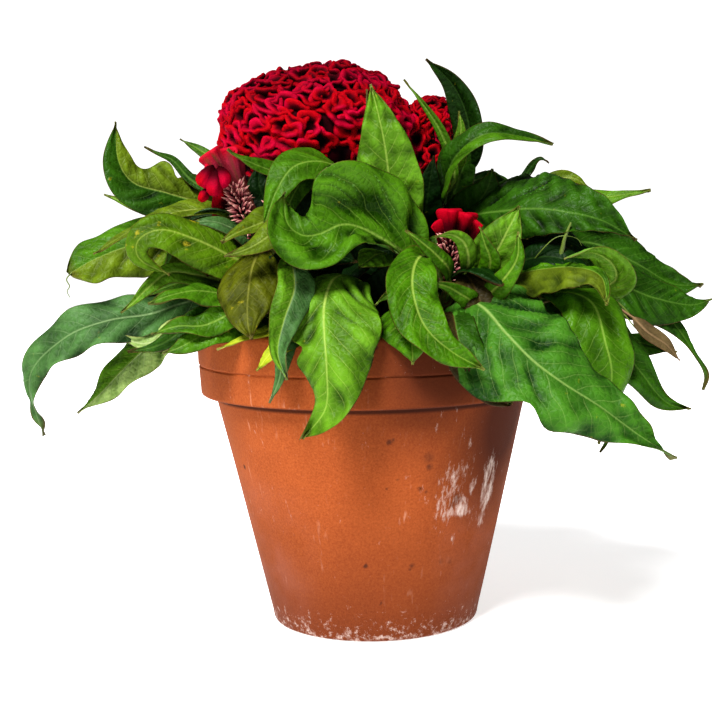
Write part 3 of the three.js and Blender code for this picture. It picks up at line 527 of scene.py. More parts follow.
# A hanging lobe, round like a drop, by the same four measures
LOBE_PROFILE = np.array([
    (0.04, 1.1, 0.0, 1.0), (0.5, 1.0, 0.3, 1.0), (0.85, 0.62, 0.7, 0.9), (1.0, 0.0, 1.0, 0.75),
    (0.86, -0.8, 0.8, 0.55), (0.5, -1.6, 0.5, 0.3), (0.1, -2.0, 0.0, 0.1),
])
# Lobes at the edge of the left and the back crest: where, which way, and how big
LEFT_LOBES = (
    ((-85.5, -62, 254), (-0.5, -0.4, -0.9), 4.4), ((-80.5, -65, 250), (-0.1, -0.4, -1), 4.8),
    ((-76, -64, 253.5), (0.2, -0.4, -0.9), 4.2), ((-87, -61, 245), (-0.6, -0.3, -0.7), 3.0),
)
BACK_LOBES = (
    ((31.5, 4, 265.5), (-0.2, -1, 0.1), 5.2), ((38, 3, 267), (0, -1, 0.3), 5.0),
    ((42.5, 4, 262), (0.4, -1, 0), 5.0), ((35, 4, 260), (0, -1, -0.5), 4.6),
    ((25, 6, 284), (-0.4, -1, 0.1), 6.8), ((20.5, 9, 291), (-0.6, -1, 0.3), 6.4),
    ((29, 5, 276), (-0.2, -1, 0.1), 5.6),
)
# The bristly necks: centre line, radius, number of florets and their length
NECKS = {
    "florets_left": ([(-60, -50, 219), (-64, -54, 228), (-68, -56, 240), (-71, -57, 250)], 3.0, 190, 5.2),
    "florets_left_dark": ([(-44, -52, 222), (-48, -54, 232), (-50, -54, 240)], 3.0, 120, 4.8),
    "florets_right": ([(41, -60, 196), (43, -61, 204), (43, -61, 214), (44, -62, 222)], 3.6, 150, 4.6),
    "florets_back": ([(37, 10, 238), (38, 9, 247), (39, 8, 256)], 3.6, 130, 5.0),
    "florets_low": ([(-62, -64, 199), (-68, -66, 201), (-77, -66, 200)], 2.0, 60, 3.2),
}
FLORET_RADIUS = 0.7
# The folds of a domed crest: the height from which they show, their size as a part of their spacing, and how
# far of their size they sink into it
FOLDS_FROM, FOLD_SIZE, FOLD_SINK = 0.17, 0.66, 0.72

# ---- Helpers ----


def linear(code, alpha=1.0):
    """An sRGB hex colour as the linear RGBA that shaders take."""
    value = np.array([int(code[i : i + 2], 16) for i in (1, 3, 5)]) / 255
    value = np.where(value <= 0.04045, value / 12.92, ((value + 0.055) / 1.055) ** 2.4)
    return (*value.tolist(), alpha)


def unit(vectors):
    """Vectors scaled to length one."""
    return vectors / np.maximum(np.linalg.norm(vectors, axis=-1, keepdims=True), 1e-9)


def smooth(low, high, x):
    """0 below low, 1 above high, and the S-shaped rise t^2 (3 - 2t) between them."""
    t = np.clip((x - low) / (high - low), 0, 1)
    return t * t * (3 - 2 * t)


def grid_faces(rows, columns, wrap=False):
    """Four-sided faces between neighbours of a grid stored row by row. wrap joins its last column to its
    first."""
    column = np.arange(columns if wrap else columns - 1)
    corner = np.arange(rows - 1)[:, None] * columns
    a, b = corner + column, corner + (column + 1) % columns
    return np.stack([a, b, b + columns, a + columns], -1).reshape(-1, 4)


def closed_rings(rows, around):
    """The faces of rings of points stored one after another, and the two caps that close them."""
    ring = np.arange(around)
    return grid_faces(rows, around, wrap=True), [ring[::-1], ring + (rows - 1) * around]


def round_about(radius, angle, height):
    """Points at a radius and an angle round the Z axis, and at a height."""
    return np.stack(np.broadcast_arrays(radius * np.cos(angle), radius * np.sin(angle), height), -1)


def full_turn(sides):
    """The angles of that many even steps round a circle."""
    return np.linspace(0, 2 * np.pi, sides, endpoint=False)


def volume(points, faces):
    """Six times the volume inside four-sided faces, by summing the tetrahedra from the origin."""
    a, b, c, d = (points[faces[:, i]] for i in range(4))
    return (np.cross(b, c) * a).sum() + (np.cross(c, d) * a).sum()


def piece(name, points, quads, caps, attributes, materials, slot, nodes=(), which=None):
    """A mesh of millimetre points, four-sided faces and many-sided caps, turned so that its faces point
    outwards. which gives each four-sided face its material, and a cap takes the first one."""
    middle = points.mean(0)
    if volume(points - middle, quads) < 0:
        quads = quads[:, ::-1]
        caps = [cap[::-1] for cap in caps]
    mesh = bpy.data.meshes.new(name)
    mesh.vertices.add(len(points))
    mesh.vertices.foreach_set("co", (points * MM).astype(np.float32).ravel())
    corners = np.concatenate([quads.ravel(), *caps]).astype(np.int32)
    sizes = np.concatenate([np.full(len(quads), 4), [len(cap) for cap in caps]]).astype(np.int32)
    mesh.loops.add(len(corners))
    mesh.loops.foreach_set("vertex_index", corners)
    mesh.polygons.add(len(sizes))
    mesh.polygons.foreach_set("loop_start", np.concatenate([[0], np.cumsum(sizes)[:-1]]).astype(np.int32))
    mesh.polygons.foreach_set("loop_total", sizes)
    for surface in materials:
        mesh.materials.append(surface)
    if which is not None:
        which = np.concatenate([which, np.zeros(len(caps), int)]).astype(np.int32)
        mesh.polygons.foreach_set("material_index", which)
    for key, values in attributes.items():
        layer = mesh.attributes.new(key, "FLOAT_VECTOR", "POINT")
        layer.data.foreach_set("vector", values.astype(np.float32).ravel())
    mesh.update(calc_edges=True)
    mesh.shade_smooth()
    made = bpy.data.objects.new(name, mesh)
    bpy.context.scene.collection.objects.link(made)
    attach(made, "root")
    if nodes:
        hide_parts(*nodes)


def add(tree, kind, inputs=(), take=0, stops=(), **settings):
    """A shader node with its settings. Each input, by name or in order, takes a value, a hex colour or the
    socket that feeds it, and stops gives a colour ramp its places and colours. Returns the output to take."""
    made = tree.nodes.new("ShaderNode" + kind)
    for key, value in settings.items():
        setattr(made, key, value)
    for key, value in inputs.items() if isinstance(inputs, dict) else enumerate(inputs):
        if isinstance(value, bpy.types.NodeSocket):
            tree.links.new(value, made.inputs[key])
        else:
            made.inputs[key].default_value = linear(value) if isinstance(value, str) else value
    ramp = made.color_ramp.elements if stops else ()
    while len(ramp) < len(stops):
        ramp.new(1.0)
    for element, (place, colour) in zip(ramp, stops):
        element.position = place
        element.color = linear(colour)
    return [made.outputs[key] for key in take] if isinstance(take, tuple) else made.outputs[take]


def emptied(owner):
    """Clears the node tree of a material or world, and returns what adds nodes to it."""
    owner.use_nodes = True
    owner.node_tree.nodes.clear()
    return partial(add, owner.node_tree)


def material(name):
    """A new material with an empty node tree, and what adds nodes to it."""
    made = bpy.data.materials.new(name)
    return made, emptied(made)


def finish_material(node, **inputs):
    """The Principled shader and the output that end every material here."""
    shader = node("BsdfPrincipled", {key.replace("_", " "): value for key, value in inputs.items()})
    node("OutputMaterial", [shader], take=())


def placed(name, data, turn=None, place=(0, 0, 0)):
    """A lamp, camera or mesh put into the scene, its axes the columns of turn, at its place in metres."""
    made = bpy.data.objects.new(name, data)
    bpy.context.scene.collection.objects.link(made)
    if turn is not None:
        made.matrix_world = Matrix.Translation(place) @ Matrix(np.column_stack(turn).tolist()).to_4x4()
    return made


# ---- Curves ----


def catmull(points, count=400):
    """A uniform Catmull-Rom curve through the points, its end tangents mirrored, taken at even lengths.
    Returns the points at those lengths and the whole length."""
    p = np.asarray(points, float)
    p = np.vstack([2 * p[0] - p[1], p, 2 * p[-1] - p[-2]])
    last = len(p) - 3
    t = np.linspace(0, last, 24 * last + 1)
    i = np.minimum(t.astype(int), last - 1)
    w = (t - i)[:, None]
    a, b, c, d = p[i], p[i + 1], p[i + 2], p[i + 3]
    line = 0.5 * (2 * b + (c - a) * w + (2 * a - 5 * b + 4 * c - d) * w**2 + (3 * b - a - 3 * c + d) * w**3)
    run = np.concatenate([[0], np.cumsum(np.linalg.norm(np.diff(line, axis=0), axis=1))])
    even = np.linspace(0, run[-1], count + 1)
    return np.stack([np.interp(even, run, line[:, k]) for k in range(3)], -1), run[-1]


def along(line, s):
    """Points at parts s of an evenly spaced line."""
    place = np.linspace(0, 1, len(line))
    return np.stack([np.interp(s, place, line[:, k]) for k in range(3)], -1)


def eased_tangent(line, s):
    """The way a line runs at parts s, over a stretch to either side that shrinks to nothing at its ends."""
    reach = np.maximum(np.minimum(np.minimum(s, 1 - s), EASE), 0.002)
    return unit(along(line, np.minimum(s + reach, 1)) - along(line, np.maximum(s - reach, 0)))


def stem_line(name):
    """The centre line of a stem. It leaves the soil upright, one gap above it."""
    (x, y, soil), *rest = STEMS[name][1]
    return catmull([[x, y, soil + GAP], [x, y, soil + STEM_UPRIGHT], *rest])[0]


def square_frame(tangents, start):
    """Two directions square to each other and to a line's tangents, carried along it without a twist."""
    normal = unit(np.cross(tangents[0], start))
    normals = np.empty_like(tangents)
    for i, tangent in enumerate(tangents):
        normal = unit(normal - tangent * (normal @ tangent))
        normals[i] = normal
    return normals, np.cross(tangents, normals)


def tube(line, radii, sides):
    """A closed tube round a line: rings of points, each point at its own radius."""
    tangents = unit(np.gradient(line, axis=0))
    first, second = square_frame(tangents, np.array([1.0, 0.2, 0.1]))
    turn = full_turn(sides)
    ring = np.cos(turn)[:, None] * first[:, None] + np.sin(turn)[:, None] * second[:, None]
    points = line[:, None] + ring * np.broadcast_to(radii, (len(line), sides))[..., None]
    return points.reshape(-1, 3), *closed_rings(len(line), sides), {}


def ripple(seed, *axes, waves=5):
    """A smooth uneven height between about -1 and 1: a sum of sine waves with seeded directions."""
    rng = np.random.default_rng(seed)
    total = 0.0
    for k in range(waves):
        way = rng.normal(size=len(axes)) * (1 + 0.5 * k)
        wave = np.sin(sum(w * a for w, a in zip(way, axes)) + rng.uniform(0, 2 * np.pi))
        total = total + wave / (1 + 0.6 * k)
    return total / 2


# ---- Leaves ----


def midrib(leaf):
    """The midrib: square off its stem, one gap clear of the bark, then through the leaf's own points."""
    stem = stem_line(leaf["stem"])
    at = np.array([leaf["at"]])
    centre = along(stem, at)[0]
    tangent = unit(along(stem, np.minimum(at + 0.004, 1)) - along(stem, at - 0.004))[0]
    out = np.array(leaf["path"][0], float) - centre
    out = unit(out - tangent * (out @ tangent))
    foot = centre + out * (STEMS[leaf["stem"]][0] + GAP)
    return catmull([foot, foot + out * STALK_SQUARE, *leaf["path"]])


def carried_faces(leaf, line):
    """The way a leaf's upper side looks at even steps of its midrib, carried both ways from FACE_AT
    without a twist."""
    tangents = eased_tangent(line, np.linspace(0, 1, FACE_STEPS + 1))
    start = round(FACE_AT * FACE_STEPS)
    faces = np.empty_like(tangents)
    for way in (range(start, FACE_STEPS + 1), range(start, -1, -1)):
        normal = np.array(leaf["face"], float)
        for i in way:
            normal = unit(normal - tangents[i] * (normal @ tangents[i]))
            faces[i] = normal
    return faces


def stands_out(field, reach):
    """How far each value of a grid stands above the mean of the square of neighbours out to reach."""
    around = np.pad(field, reach, mode="edge")
    total = np.pad(around.cumsum(0).cumsum(1), ((1, 0), (1, 0)))
    size = 2 * reach + 1
    inside = total[size:, size:] - total[:-size, size:] - total[size:, :-size] + total[:-size, :-size]
    return field - inside / size**2


def leaf_blade(leaf, seed, rows, columns):
    """A leaf as closed rings, upper side from margin to margin and then the under side back.

    The leaf is as wide as (v/p)^a (1-v)^b along it, widest at p. Its halves fold and cup, its margins wave as
    |u|^3 sin(v), it rises between side veins, which leave the midrib forwards and bend to the tip, and
    uneven folds that run with the veins and a finer unevenness pucker it. Returns its shape and the
    material of each face: 0 above, 1 below and 2 on a half with a tone of its own.
    """
    line, length = midrib(leaf)
    stalk = leaf["stalk"]
    t = np.linspace(0, 1, rows)
    v = 0.45 * t + 0.55 * (0.5 - 0.5 * np.cos(np.pi * t))
    v = np.concatenate([np.zeros(STALK_ROWS), v])
    s = stalk + (1 - stalk) * v[STALK_ROWS:]
    s = np.concatenate([np.linspace(0, stalk, STALK_ROWS, endpoint=False), s])
    centre = along(line, s)
    tangent = eased_tangent(line, s)
    faces = along(carried_faces(leaf, line), s)
    normal = unit(faces - tangent * (faces * tangent).sum(-1, keepdims=True))
    side = np.cross(tangent, normal)
    before, after = np.maximum(s - EASE, 0), np.minimum(s + EASE, 1)
    turn = ((eased_tangent(line, after) - eased_tangent(line, before)) * side).sum(-1)
    bend = (turn / ((after - before) * length))[:, None]

    # the outline: u across from -1 to 1, v2 along, and how far each half reaches
    t = np.linspace(-1, 1, columns)
    u, v2 = (0.6 * t + 0.4 * np.sin(np.pi / 2 * t))[None, :], v[:, None]
    plus = u > 0
    tip = leaf.get("tip", TIP_SHARPNESS)
    peaks = (leaf.get("peak", PEAK), leaf.get("other_peak", leaf.get("peak", PEAK)))
    spreads = [(v2 / p) ** (tip * p / (1 - p)) * (np.maximum(1 - v2, 0) / (1 - p)) ** tip for p in peaks]
    spread = np.where(plus, *spreads)
    width = np.where(plus, *leaf["width"]) * (1 + 0.05 * ripple(seed, v2 * 9, np.where(plus, 3.0, 0.0)))
    room = np.where(u * bend > 0, BEND_ROOM / np.maximum(np.abs(bend), 1e-4), 1e4)
    opened = smooth(0, 0.1, v2)
    stalk_radius = leaf.get("petiole", PETIOLE_RADIUS) * (1 - 0.85 * smooth(0, 0.9, v2))
    open_width = width * spread
    limited = open_width * room / (open_width**4 + room**4) ** 0.25
    reach = np.maximum(limited, stalk_radius * (1 - 0.9 * smooth(0.9, 1, v2)))
    for half, place, span, swell in leaf.get("lobes", ()):
        lobe = swell * np.exp(-(((v2 - place) / span) ** 2)) * smooth(0, 0.03, v2)
        reach = reach + np.where(plus == (half > 0), lobe, 0)
    far = np.abs(u)
    away = far * reach
    ahead = np.maximum(s[:, None] - stalk, 0) * length

    # how far it rises: fold, cup, waves, dents and creases
    angle = np.radians(leaf["fold"]) * spread
    big = max(leaf["width"])
    wave = leaf.get("wave", 0.05) * big
    waving = np.sin(ahead / (0.55 * big + 3) * 2.2 + seed * 1.7 + np.where(plus, 0, 1.9))
    rise = away * np.sin(angle) + leaf.get("cup", 0) * reach * far**2 * spread
    rise = rise + wave * far**3 * opened * waving
    rise = rise + 0.12 * big * opened * far**0.7 * ripple(seed + 1, ahead / 12, u * 2.6)
    rise = rise - 0.1 * reach * far**4 * opened
    dented = 0 * rise
    for across, down, wide, long, deep in leaf.get("dents", ()):
        dented = dented + deep * np.exp(-(((u - across) / wide) ** 2) - ((v2 - down) / long) ** 2)
    rise = rise - dented
    for half, start, wide, deep in leaf.get("creases", ()):
        near = (ahead - 0.9 * away - start * (1 - stalk) * length) / wide
        crease = deep * np.exp(-(near**2)) * smooth(0, 0.3, far) * (1 - 0.6 * far**4)
        rise = rise - np.where(plus == (half > 0), crease, 0)

    # the veins, and what swells between them
    spacing = leaf.get("veins", 0.24 * big + 2.2)
    phase = (ahead - away - 0.016 * away**2) / spacing + np.where(plus, 0, 0.45) + seed * 0.37
    phase = phase + 0.2 * ripple(seed + 2, ahead / 9, away / 7)
    between = np.abs(np.sin(np.pi * phase)) ** 0.6
    patchy = 0.55 + 0.45 * ripple(seed + 3, ahead / 10, away / 8)
    inside = smooth(0, 0.25, away / big) * (1 - far**6)
    pillow = 0.5 * leaf.get("quilt", 0.075) * spacing * between * patchy
    pucker = 0.075 * big * ripple(seed + 4, phase * 2.2, u * 1.4)
    pucker = pucker + 0.14 * ripple(seed + 5, ahead / 3, away / 2.5, waves=7)
    quilt = (pillow + leaf.get("pucker", 1) * pucker) * inside * opened * np.sqrt(np.clip(spread, 0, 1))
    rib_groove = 0.5 * np.exp(-((away / 1.3) ** 2)) * opened
    lofty = stands_out(rise + quilt, max(3, columns // 9)) - 0.22 * dented

    # the upper and the under side, each its own half thickness from the sheet between them
    across = side[:, None] * (np.sign(u) * away * np.cos(angle))[..., None]
    sheet = centre[:, None] + across + normal[:, None] * rise[..., None]
    out = unit(np.cross(np.gradient(sheet, axis=0), np.gradient(sheet, axis=1)))
    out = out * np.sign((out * normal[:, None]).sum(-1, keepdims=True) + 1e-9)
    weight = opened[..., None]
    out = unit(out * weight + normal[:, None] * (1 - weight))
    round_half = stalk_radius * np.sqrt(np.maximum(1 - u**2, 0)) * (1 - opened)
    flat_half = BLADE_HALF * (1 - far**8) * (1 - 0.8 * smooth(0.93, 1, v2))
    rib = 1.1 * stalk_radius * np.exp(-((away / np.maximum(stalk_radius * 0.9, 0.3)) ** 2))
    upper = sheet + out * (quilt - rib_groove + flat_half * opened + round_half)[..., None]
    lower = sheet + out * (quilt - rib_groove * 0.5 - (flat_half + rib) * opened - round_half)[..., None]
    lower[:, 0], lower[:, -1] = upper[:, 0], upper[:, -1]
    points = np.concatenate([upper, lower[:, -2:0:-1]], 1)

    # what the skin follows: distance to the midrib, count of side veins and distance to the margin, and then
    # the part of the length, how far the skin stands out and the spacing of the side veins
    charts = {"blade_chart": (away, phase, reach - away), "blade_place": (v2, lofty, spacing + 0 * u)}
    attributes = {}
    for key, values in charts.items():
        chart = np.stack(np.broadcast_arrays(*values), -1)
        attributes[key] = np.concatenate([chart, chart[:, -2:0:-1]], 1).reshape(-1, 3)
    around = points.shape[1]
    side_of = (np.arange(around) >= columns - 1).astype(int)
    if "half" in leaf:
        middle = columns // 2
        side_of[slice(middle, columns - 1) if leaf["half"][1] > 0 else slice(0, middle)] = 2
    return points.reshape(-1, 3), *closed_rings(len(s), around), attributes, np.tile(side_of, len(s) - 1)


def add_leaf(name, leaf, seed, grid, nodes=()):
    """A leaf with the skins of its tone, and of its other half's tone where it has one."""
    *shape, which = leaf_blade(leaf, seed, *grid)
    other_half = [skins[leaf["half"][0]][0]] if "half" in leaf else []
    piece(name, *shape, skins[leaf["tone"]] + other_half, "leaf", nodes, which)


def shoot_leaf(stem, height, angle, reach, droop, width, tone):
    """A leaf that leaves its stem at a height and an angle seen from above, rises and arches over. It goes
    out by 0.2, 0.5, 0.8 and 1 of its reach, where it stands higher by 0.1, 0.18, 0.12 less half its droop and
    0.02 less its droop of its reach, and it stays clear of the pot's rim until it is past it."""
    line = stem_line(stem)
    at = float(np.clip(np.interp(height, line[:, 2], np.linspace(0, 1, len(line))), 0.06, 0.96))
    x, y, z = along(line, np.array([at]))[0]
    way = np.array([np.cos(angle), np.sin(angle)])
    steps = ((0.2, 0.1), (0.5, 0.18), (0.8, 0.12 - 0.5 * droop), (1.0, 0.02 - droop))
    path = np.array([
        [x + way[0] * reach * part, y + way[1] * reach * part, z + reach * up] for part, up in steps
    ])
    outside = smooth(RIM_RADIUS + 4, RIM_RADIUS + 28, np.hypot(path[:, 0], path[:, 1]))
    path[:, 2] = np.maximum(path[:, 2], POT_HEIGHT + 10 - 60 * outside)
    face = (-0.2 * way[0], -0.2 * way[1], 1)
    return blade(stem, at, (width, width * 0.95), face, 0.16, tone, path, (-1) ** int(height) * 8, wave=0.13)


# ---- Crests ----


def rest_frame(stem):
    """Where a crest stands: one gap above the end of its stem, leaning the way the stem ends."""
    line = stem_line(stem)
    way = unit(line[-1] - line[-3])
    up = np.array([0.0, 0.0, 1.0])
    axis = np.cross(up, way)
    sine, cosine = np.linalg.norm(axis), up @ way
    axis = axis / max(sine, 1e-9)
    cross = np.array([[0, -axis[2], axis[1]], [axis[2], 0, -axis[0]], [-axis[1], axis[0], 0]])
    turn = np.eye(3) + sine * cross + (1 - cosine) * cross @ cross
    return turn, line[-1] + way * GAP


def dome(profile, squash, turn, place):
    """A dome laid out as a square grid: the square's rings become circles, so that no pole pinches it. They
    stand wider apart over the last third of its profile, which leaves hide. Returns its points, its outward
    directions and how far out each point is on the square."""
    line = catmull([[r, 0.0, z] for r, z in profile], PROFILE_STEPS)[0]
    r, z = line[:, 0], line[:, 2]
    weight = np.where(np.linspace(0, 1, len(r)) > 0.68, 0.4, 1.0)
    area = np.concatenate([[0], np.cumsum((0.5 * (r[1:] + r[:-1]) + 0.4) * weight[1:])])
    ring = np.sqrt(area / area[-1])
    a, b = np.meshgrid(np.linspace(-1, 1, DOME_GRID), np.linspace(-1, 1, DOME_GRID), indexing="ij")
    flat = np.abs(a) >= np.abs(b)
    big = np.where(flat, a, b)
    small = np.where(flat, b, a)
    angle = np.pi / 4 * small / np.where(big == 0, 1, big)
    angle = np.where(flat, angle, np.pi / 2 - angle) + np.where(big < 0, np.pi, 0)
    out = np.abs(big)
    radius, height = np.interp(out, ring, r), np.interp(out, ring, z)
    points = round_about(radius, angle, height) * [*squash, 1]
    normal = unit(np.cross(np.gradient(points, axis=0), np.gradient(points, axis=1)))
    normal[0], normal[-1], normal[:, 0], normal[:, -1] = normal[1], normal[-2], normal[:, 1], normal[:, -2]
    if normal[DOME_GRID // 2, DOME_GRID // 2, 2] < 0:
        normal = -normal
    return points @ turn.T + place, normal @ turn.T, out


def crest_core(profile, squash, turn, place, seed, shrink):
    """The flesh under a crest's folds: its dome, drawn in by shrink and wrinkled all over by up to 0.9 mm."""
    points, normal, out = dome(profile, squash, turn, place)
    wrinkle = ripple(seed, *(points[..., k] / 2.4 for k in range(3)), waves=7)
    keep = 1 - smooth(0.86, 0.97, out)
    points = points + normal * ((0.9 * wrinkle - shrink) * keep)[..., None]
    # the flesh takes a low tone: painted shade deep between the folds
    chart = np.stack([0.2 + 0.12 * wrinkle, 0.5 + 0 * wrinkle, 0.5 + 0 * wrinkle], -1)
    index = np.arange(DOME_GRID * DOME_GRID).reshape(DOME_GRID, DOME_GRID)
    border = np.concatenate([index[0, :-1], index[:-1, -1], index[-1, :0:-1], index[:0:-1, 0]])
    faces = grid_faces(DOME_GRID, DOME_GRID)
    return points.reshape(-1, 3), faces, [border[::-1]], {"fold_chart": chart.reshape(-1, 3)}


def spread_on_dome(profile, squash, turn, place, spacings, seed):
    """Points on a dome at the golden angle round it, each as far from the next as the spacing for its height
    asks: the place down the profile is where the summed area over the spacing squared reaches its number.
    Returns the points, outward directions and heights from 1 at the top to 0."""
    line, length = catmull([[r, 0.0, z] for r, z in profile], PROFILE_STEPS)
    r, z = line[:, 0], line[:, 2]
    high = (z - z.min()) / (z.max() - z.min())
    step = np.interp(high, *spacings)
    ring = 2 * np.pi * r * squash[0] ** 0.5 * squash[1] ** 0.5 * length / PROFILE_STEPS
    number = np.concatenate([[0], np.cumsum((ring / step**2)[1:])])
    count = int(number[-1])
    rng = np.random.default_rng(seed)
    which = np.arange(count) + 0.5
    radius, height = np.interp(which, number, r), np.interp(which, number, z)
    angle = which * GOLDEN_ANGLE + rng.uniform(-0.12, 0.12, count)
    points = round_about(radius, angle, height) * [*squash, 1]
    tilt = np.interp(which, number, np.arctan2(-np.gradient(z), np.gradient(r)))
    ways = round_about(np.sin(tilt), angle, np.cos(tilt)) / [*squash, 1]
    return points @ turn.T + place, unit(ways) @ turn.T, np.interp(which, number, high)


def ruffled_cups(centres, ways, sizes, seed, around=44, long=0.24, tall=0.18, profile=CUP_PROFILE):
    """Rolled folds: a profile carried round each centre.

    The radius is multiplied by 1 + a cos(2x) + b cos(3x) + c cos(5x) + d cos(8x) + e cos(12x), and the lip
    rises and falls by the same kind of sum, so that each fold is drawn out, bent and frilled in its own way.
    """
    count = len(centres)
    rng = np.random.default_rng(seed)
    x = full_turn(around)
    radius, height, ruffle, tone = (profile[:, k][None, :, None] for k in range(4))

    def waves(strength):
        """The sum of each fold's own cosines of x."""
        parts = [
            rng.uniform(0.35, 1.0, (count, 1)) * (strength * share)
            * np.cos(rate * x + rng.uniform(0, 2 * np.pi, (count, 1)))
            for rate, share in ((2, 1.0), (3, 0.6), (5, 0.5), (8, 0.3), (12, 0.1))
        ]
        return sum(parts)[:, None, :]

    wide = 1 + waves(long) * (0.25 + 0.75 * ruffle)
    lift = waves(tall) * ruffle
    ways = unit(ways + rng.normal(size=(count, 3)) * 0.12)
    first = unit(np.cross(ways, unit(rng.normal(size=(count, 3)))))
    second = np.cross(ways, first)
    size = sizes[:, None, None]
    across = size * radius * wide
    up = size * (height + lift)
    points = (
        centres[:, None, None]
        + first[:, None, None] * (across * np.cos(x))[..., None]
        + second[:, None, None] * (across * np.sin(x))[..., None]
        + ways[:, None, None] * up[..., None]
    )
    quads, caps = closed_rings(len(profile), around)
    start = len(profile) * around * np.arange(count)[:, None]
    quads = (quads[None] + start[..., None]).reshape(-1, 4)
    # what the plush follows: painted shade from hollow to lip, a number of the fold's own, and patches of
    # pink
    own = rng.uniform(0, 1, (count, 1, 1)) + 0 * across
    pale = 0.5 + 0.5 * ripple(seed + 9, *(points[..., k] / 7 for k in range(3)), waves=4)
    # painted shade: folds that face up are drawn up to 0.3 darker
    shade = tone * (1 - 0.3 * np.clip(ways[:, 2], 0, 1))[:, None, None] + 0 * across
    chart = np.stack([shade, own, pale], -1).reshape(-1, 3)
    return points.reshape(-1, 3), quads, [*(caps[0] + start), *(caps[1] + start)], {"fold_chart": chart}


def settled(points):
    """The big crest's own slump: its crown sinks by up to 3.5 mm left of its middle, as exp(-r^2), and its
    left shoulder swells by up to 5 mm, as exp(-h^2) of the height over the shoulder."""
    x, y, z = points.T
    sink = 3.5 * np.exp(-(((x + 38) / 26) ** 2)) * smooth(270, 315, z)
    swell = 5.0 * np.exp(-(((z - 306) / 14) ** 2)) * smooth(20, 50, -x - 8)
    return np.stack([x - swell, y, z - sink], -1)


def join_parts(*parts):
    """Several shapes as one: their points, faces, caps and attributes, each numbered on from the last."""
    start = np.cumsum([0] + [len(part[0]) for part in parts])
    points = np.concatenate([part[0] for part in parts])
    quads = np.concatenate([part[1] + first for part, first in zip(parts, start)])
    caps = [cap + first for part, first in zip(parts, start) for cap in part[2]]
    keys = parts[0][3]
    return points, quads, caps, {key: np.concatenate([part[3][key] for part in parts]) for key in keys}


def ruffled_fan(foot, up, across, halves, tall, waves, swing, loop, droop, thick, seed, grid, uneven=0.0):
    """A fan that flares from a neck to a ruffled, round-lipped edge, halves its half widths at foot and top.

    Across it a runs from -1 to 1 and up it t from 0 to 1. It swings to either side as t^2 sin(waves a), the
    same wave at twice the rate gathers it along its edge, its ends droop as a^2 t^2, and the waves come
    unevenly where uneven is over 0.
    """
    rows, columns = grid
    half_foot, half_top = halves
    up, across = unit(np.array(up, float)), np.array(across, float)
    across = unit(across - up * (across @ up))
    front = np.cross(across, up)
    a = np.linspace(-1, 1, rows)[:, None]
    q = np.linspace(-1, 1, columns)[None]
    lip = 0.16
    t = 1 - np.clip((np.abs(q) - lip) / (1 - lip), 0, 1)
    bump = 1 + 0.22 * ripple(seed, a * 5, t * 1.5)
    phase = waves * np.pi * a + seed + uneven * ripple(seed + 2, a * 2.5)
    swinging = swing * t**2.2 * bump * np.sin(phase)
    gather = loop * t**2.2 * np.sin(2 * phase)
    wide = half_foot + (half_top - half_foot) * t**1.7
    high = tall * (t - droop * a**2 * t**2) + 0.08 * tall * t**2 * ripple(seed + 1, a * 4, t)
    sheet = (
        np.array(foot, float)
        + across * (a * wide + gather)[..., None]
        + front * swinging[..., None]
        + up * (high + 0 * a)[..., None]
    )
    # the ways out and up are those of one side, the same on the other, and even over the lip
    half = sheet[:, : columns // 2 + 1]
    rolled = math.ceil(lip * (columns // 2)) + 1
    out = unit(np.cross(np.gradient(half, axis=0), np.gradient(half, axis=1)))
    grow = unit(np.gradient(half, axis=1))
    for field in (out, grow):
        field[:, -rolled:] = field[:, -rolled - 1 : -rolled]
    out, grow = (np.concatenate([field, field[:, -2::-1]], 1)[:, :columns] for field in (out, grow))
    body = thick * (0.55 + 0.45 * smooth(0.7, 1, t)) * (1 - 0.85 * smooth(0.9, 1, np.abs(a)))
    roll = np.clip(q / lip, -1, 1) * np.pi / 2
    points = sheet + out * (body * np.sin(roll))[..., None]
    points = points + grow * (body * np.cos(roll) * (np.abs(q) < lip))[..., None]
    streak = 0.5 + 0.5 * ripple(seed + 4, a * 16, t, waves=6)
    chart = np.stack(np.broadcast_arrays(t**2.6 + 0 * a, streak, 0.5), -1).reshape(-1, 3)
    return points.reshape(-1, 3), *closed_rings(rows, columns), {"fold_chart": chart}


def spindles(feet, ways, lengths, radii):
    """Small pointed petals: four-sided spindles, each from its foot along its own way."""
    ways = unit(ways)
    first = unit(np.cross(ways, [0.31, 0.22, 0.93]))
    second = np.cross(ways, first)
    turn = np.array([0.25, 0.75, 1.25, 1.75]) * np.pi
    ring = np.cos(turn)[:, None] * first[:, None] + np.sin(turn)[:, None] * second[:, None]
    places = np.array([0.0, 0.3, 0.7, 1.0])
    widths = np.array([0.5, 1.0, 0.75, 0.08])
    points = (
        feet[:, None, None]
        + ways[:, None, None] * (places * lengths[:, None])[..., None, None]
        + ring[:, None] * (widths * radii[:, None])[..., None, None]
    )
    count = len(feet)
    faces = np.concatenate([grid_faces(4, 4, wrap=True), [[3, 2, 1, 0], [12, 13, 14, 15]]])
    faces = faces[None] + 16 * np.arange(count)[:, None, None]
    own = (np.arange(count) * GOLDEN_SHARE % 1)[:, None, None]
    chart = np.stack(np.broadcast_arrays(places[None, :, None], own, own + np.zeros((1, 4, 4))), -1)
    return points.reshape(-1, 3), faces.reshape(-1, 4), [], {"fold_chart": chart.reshape(-1, 3)}


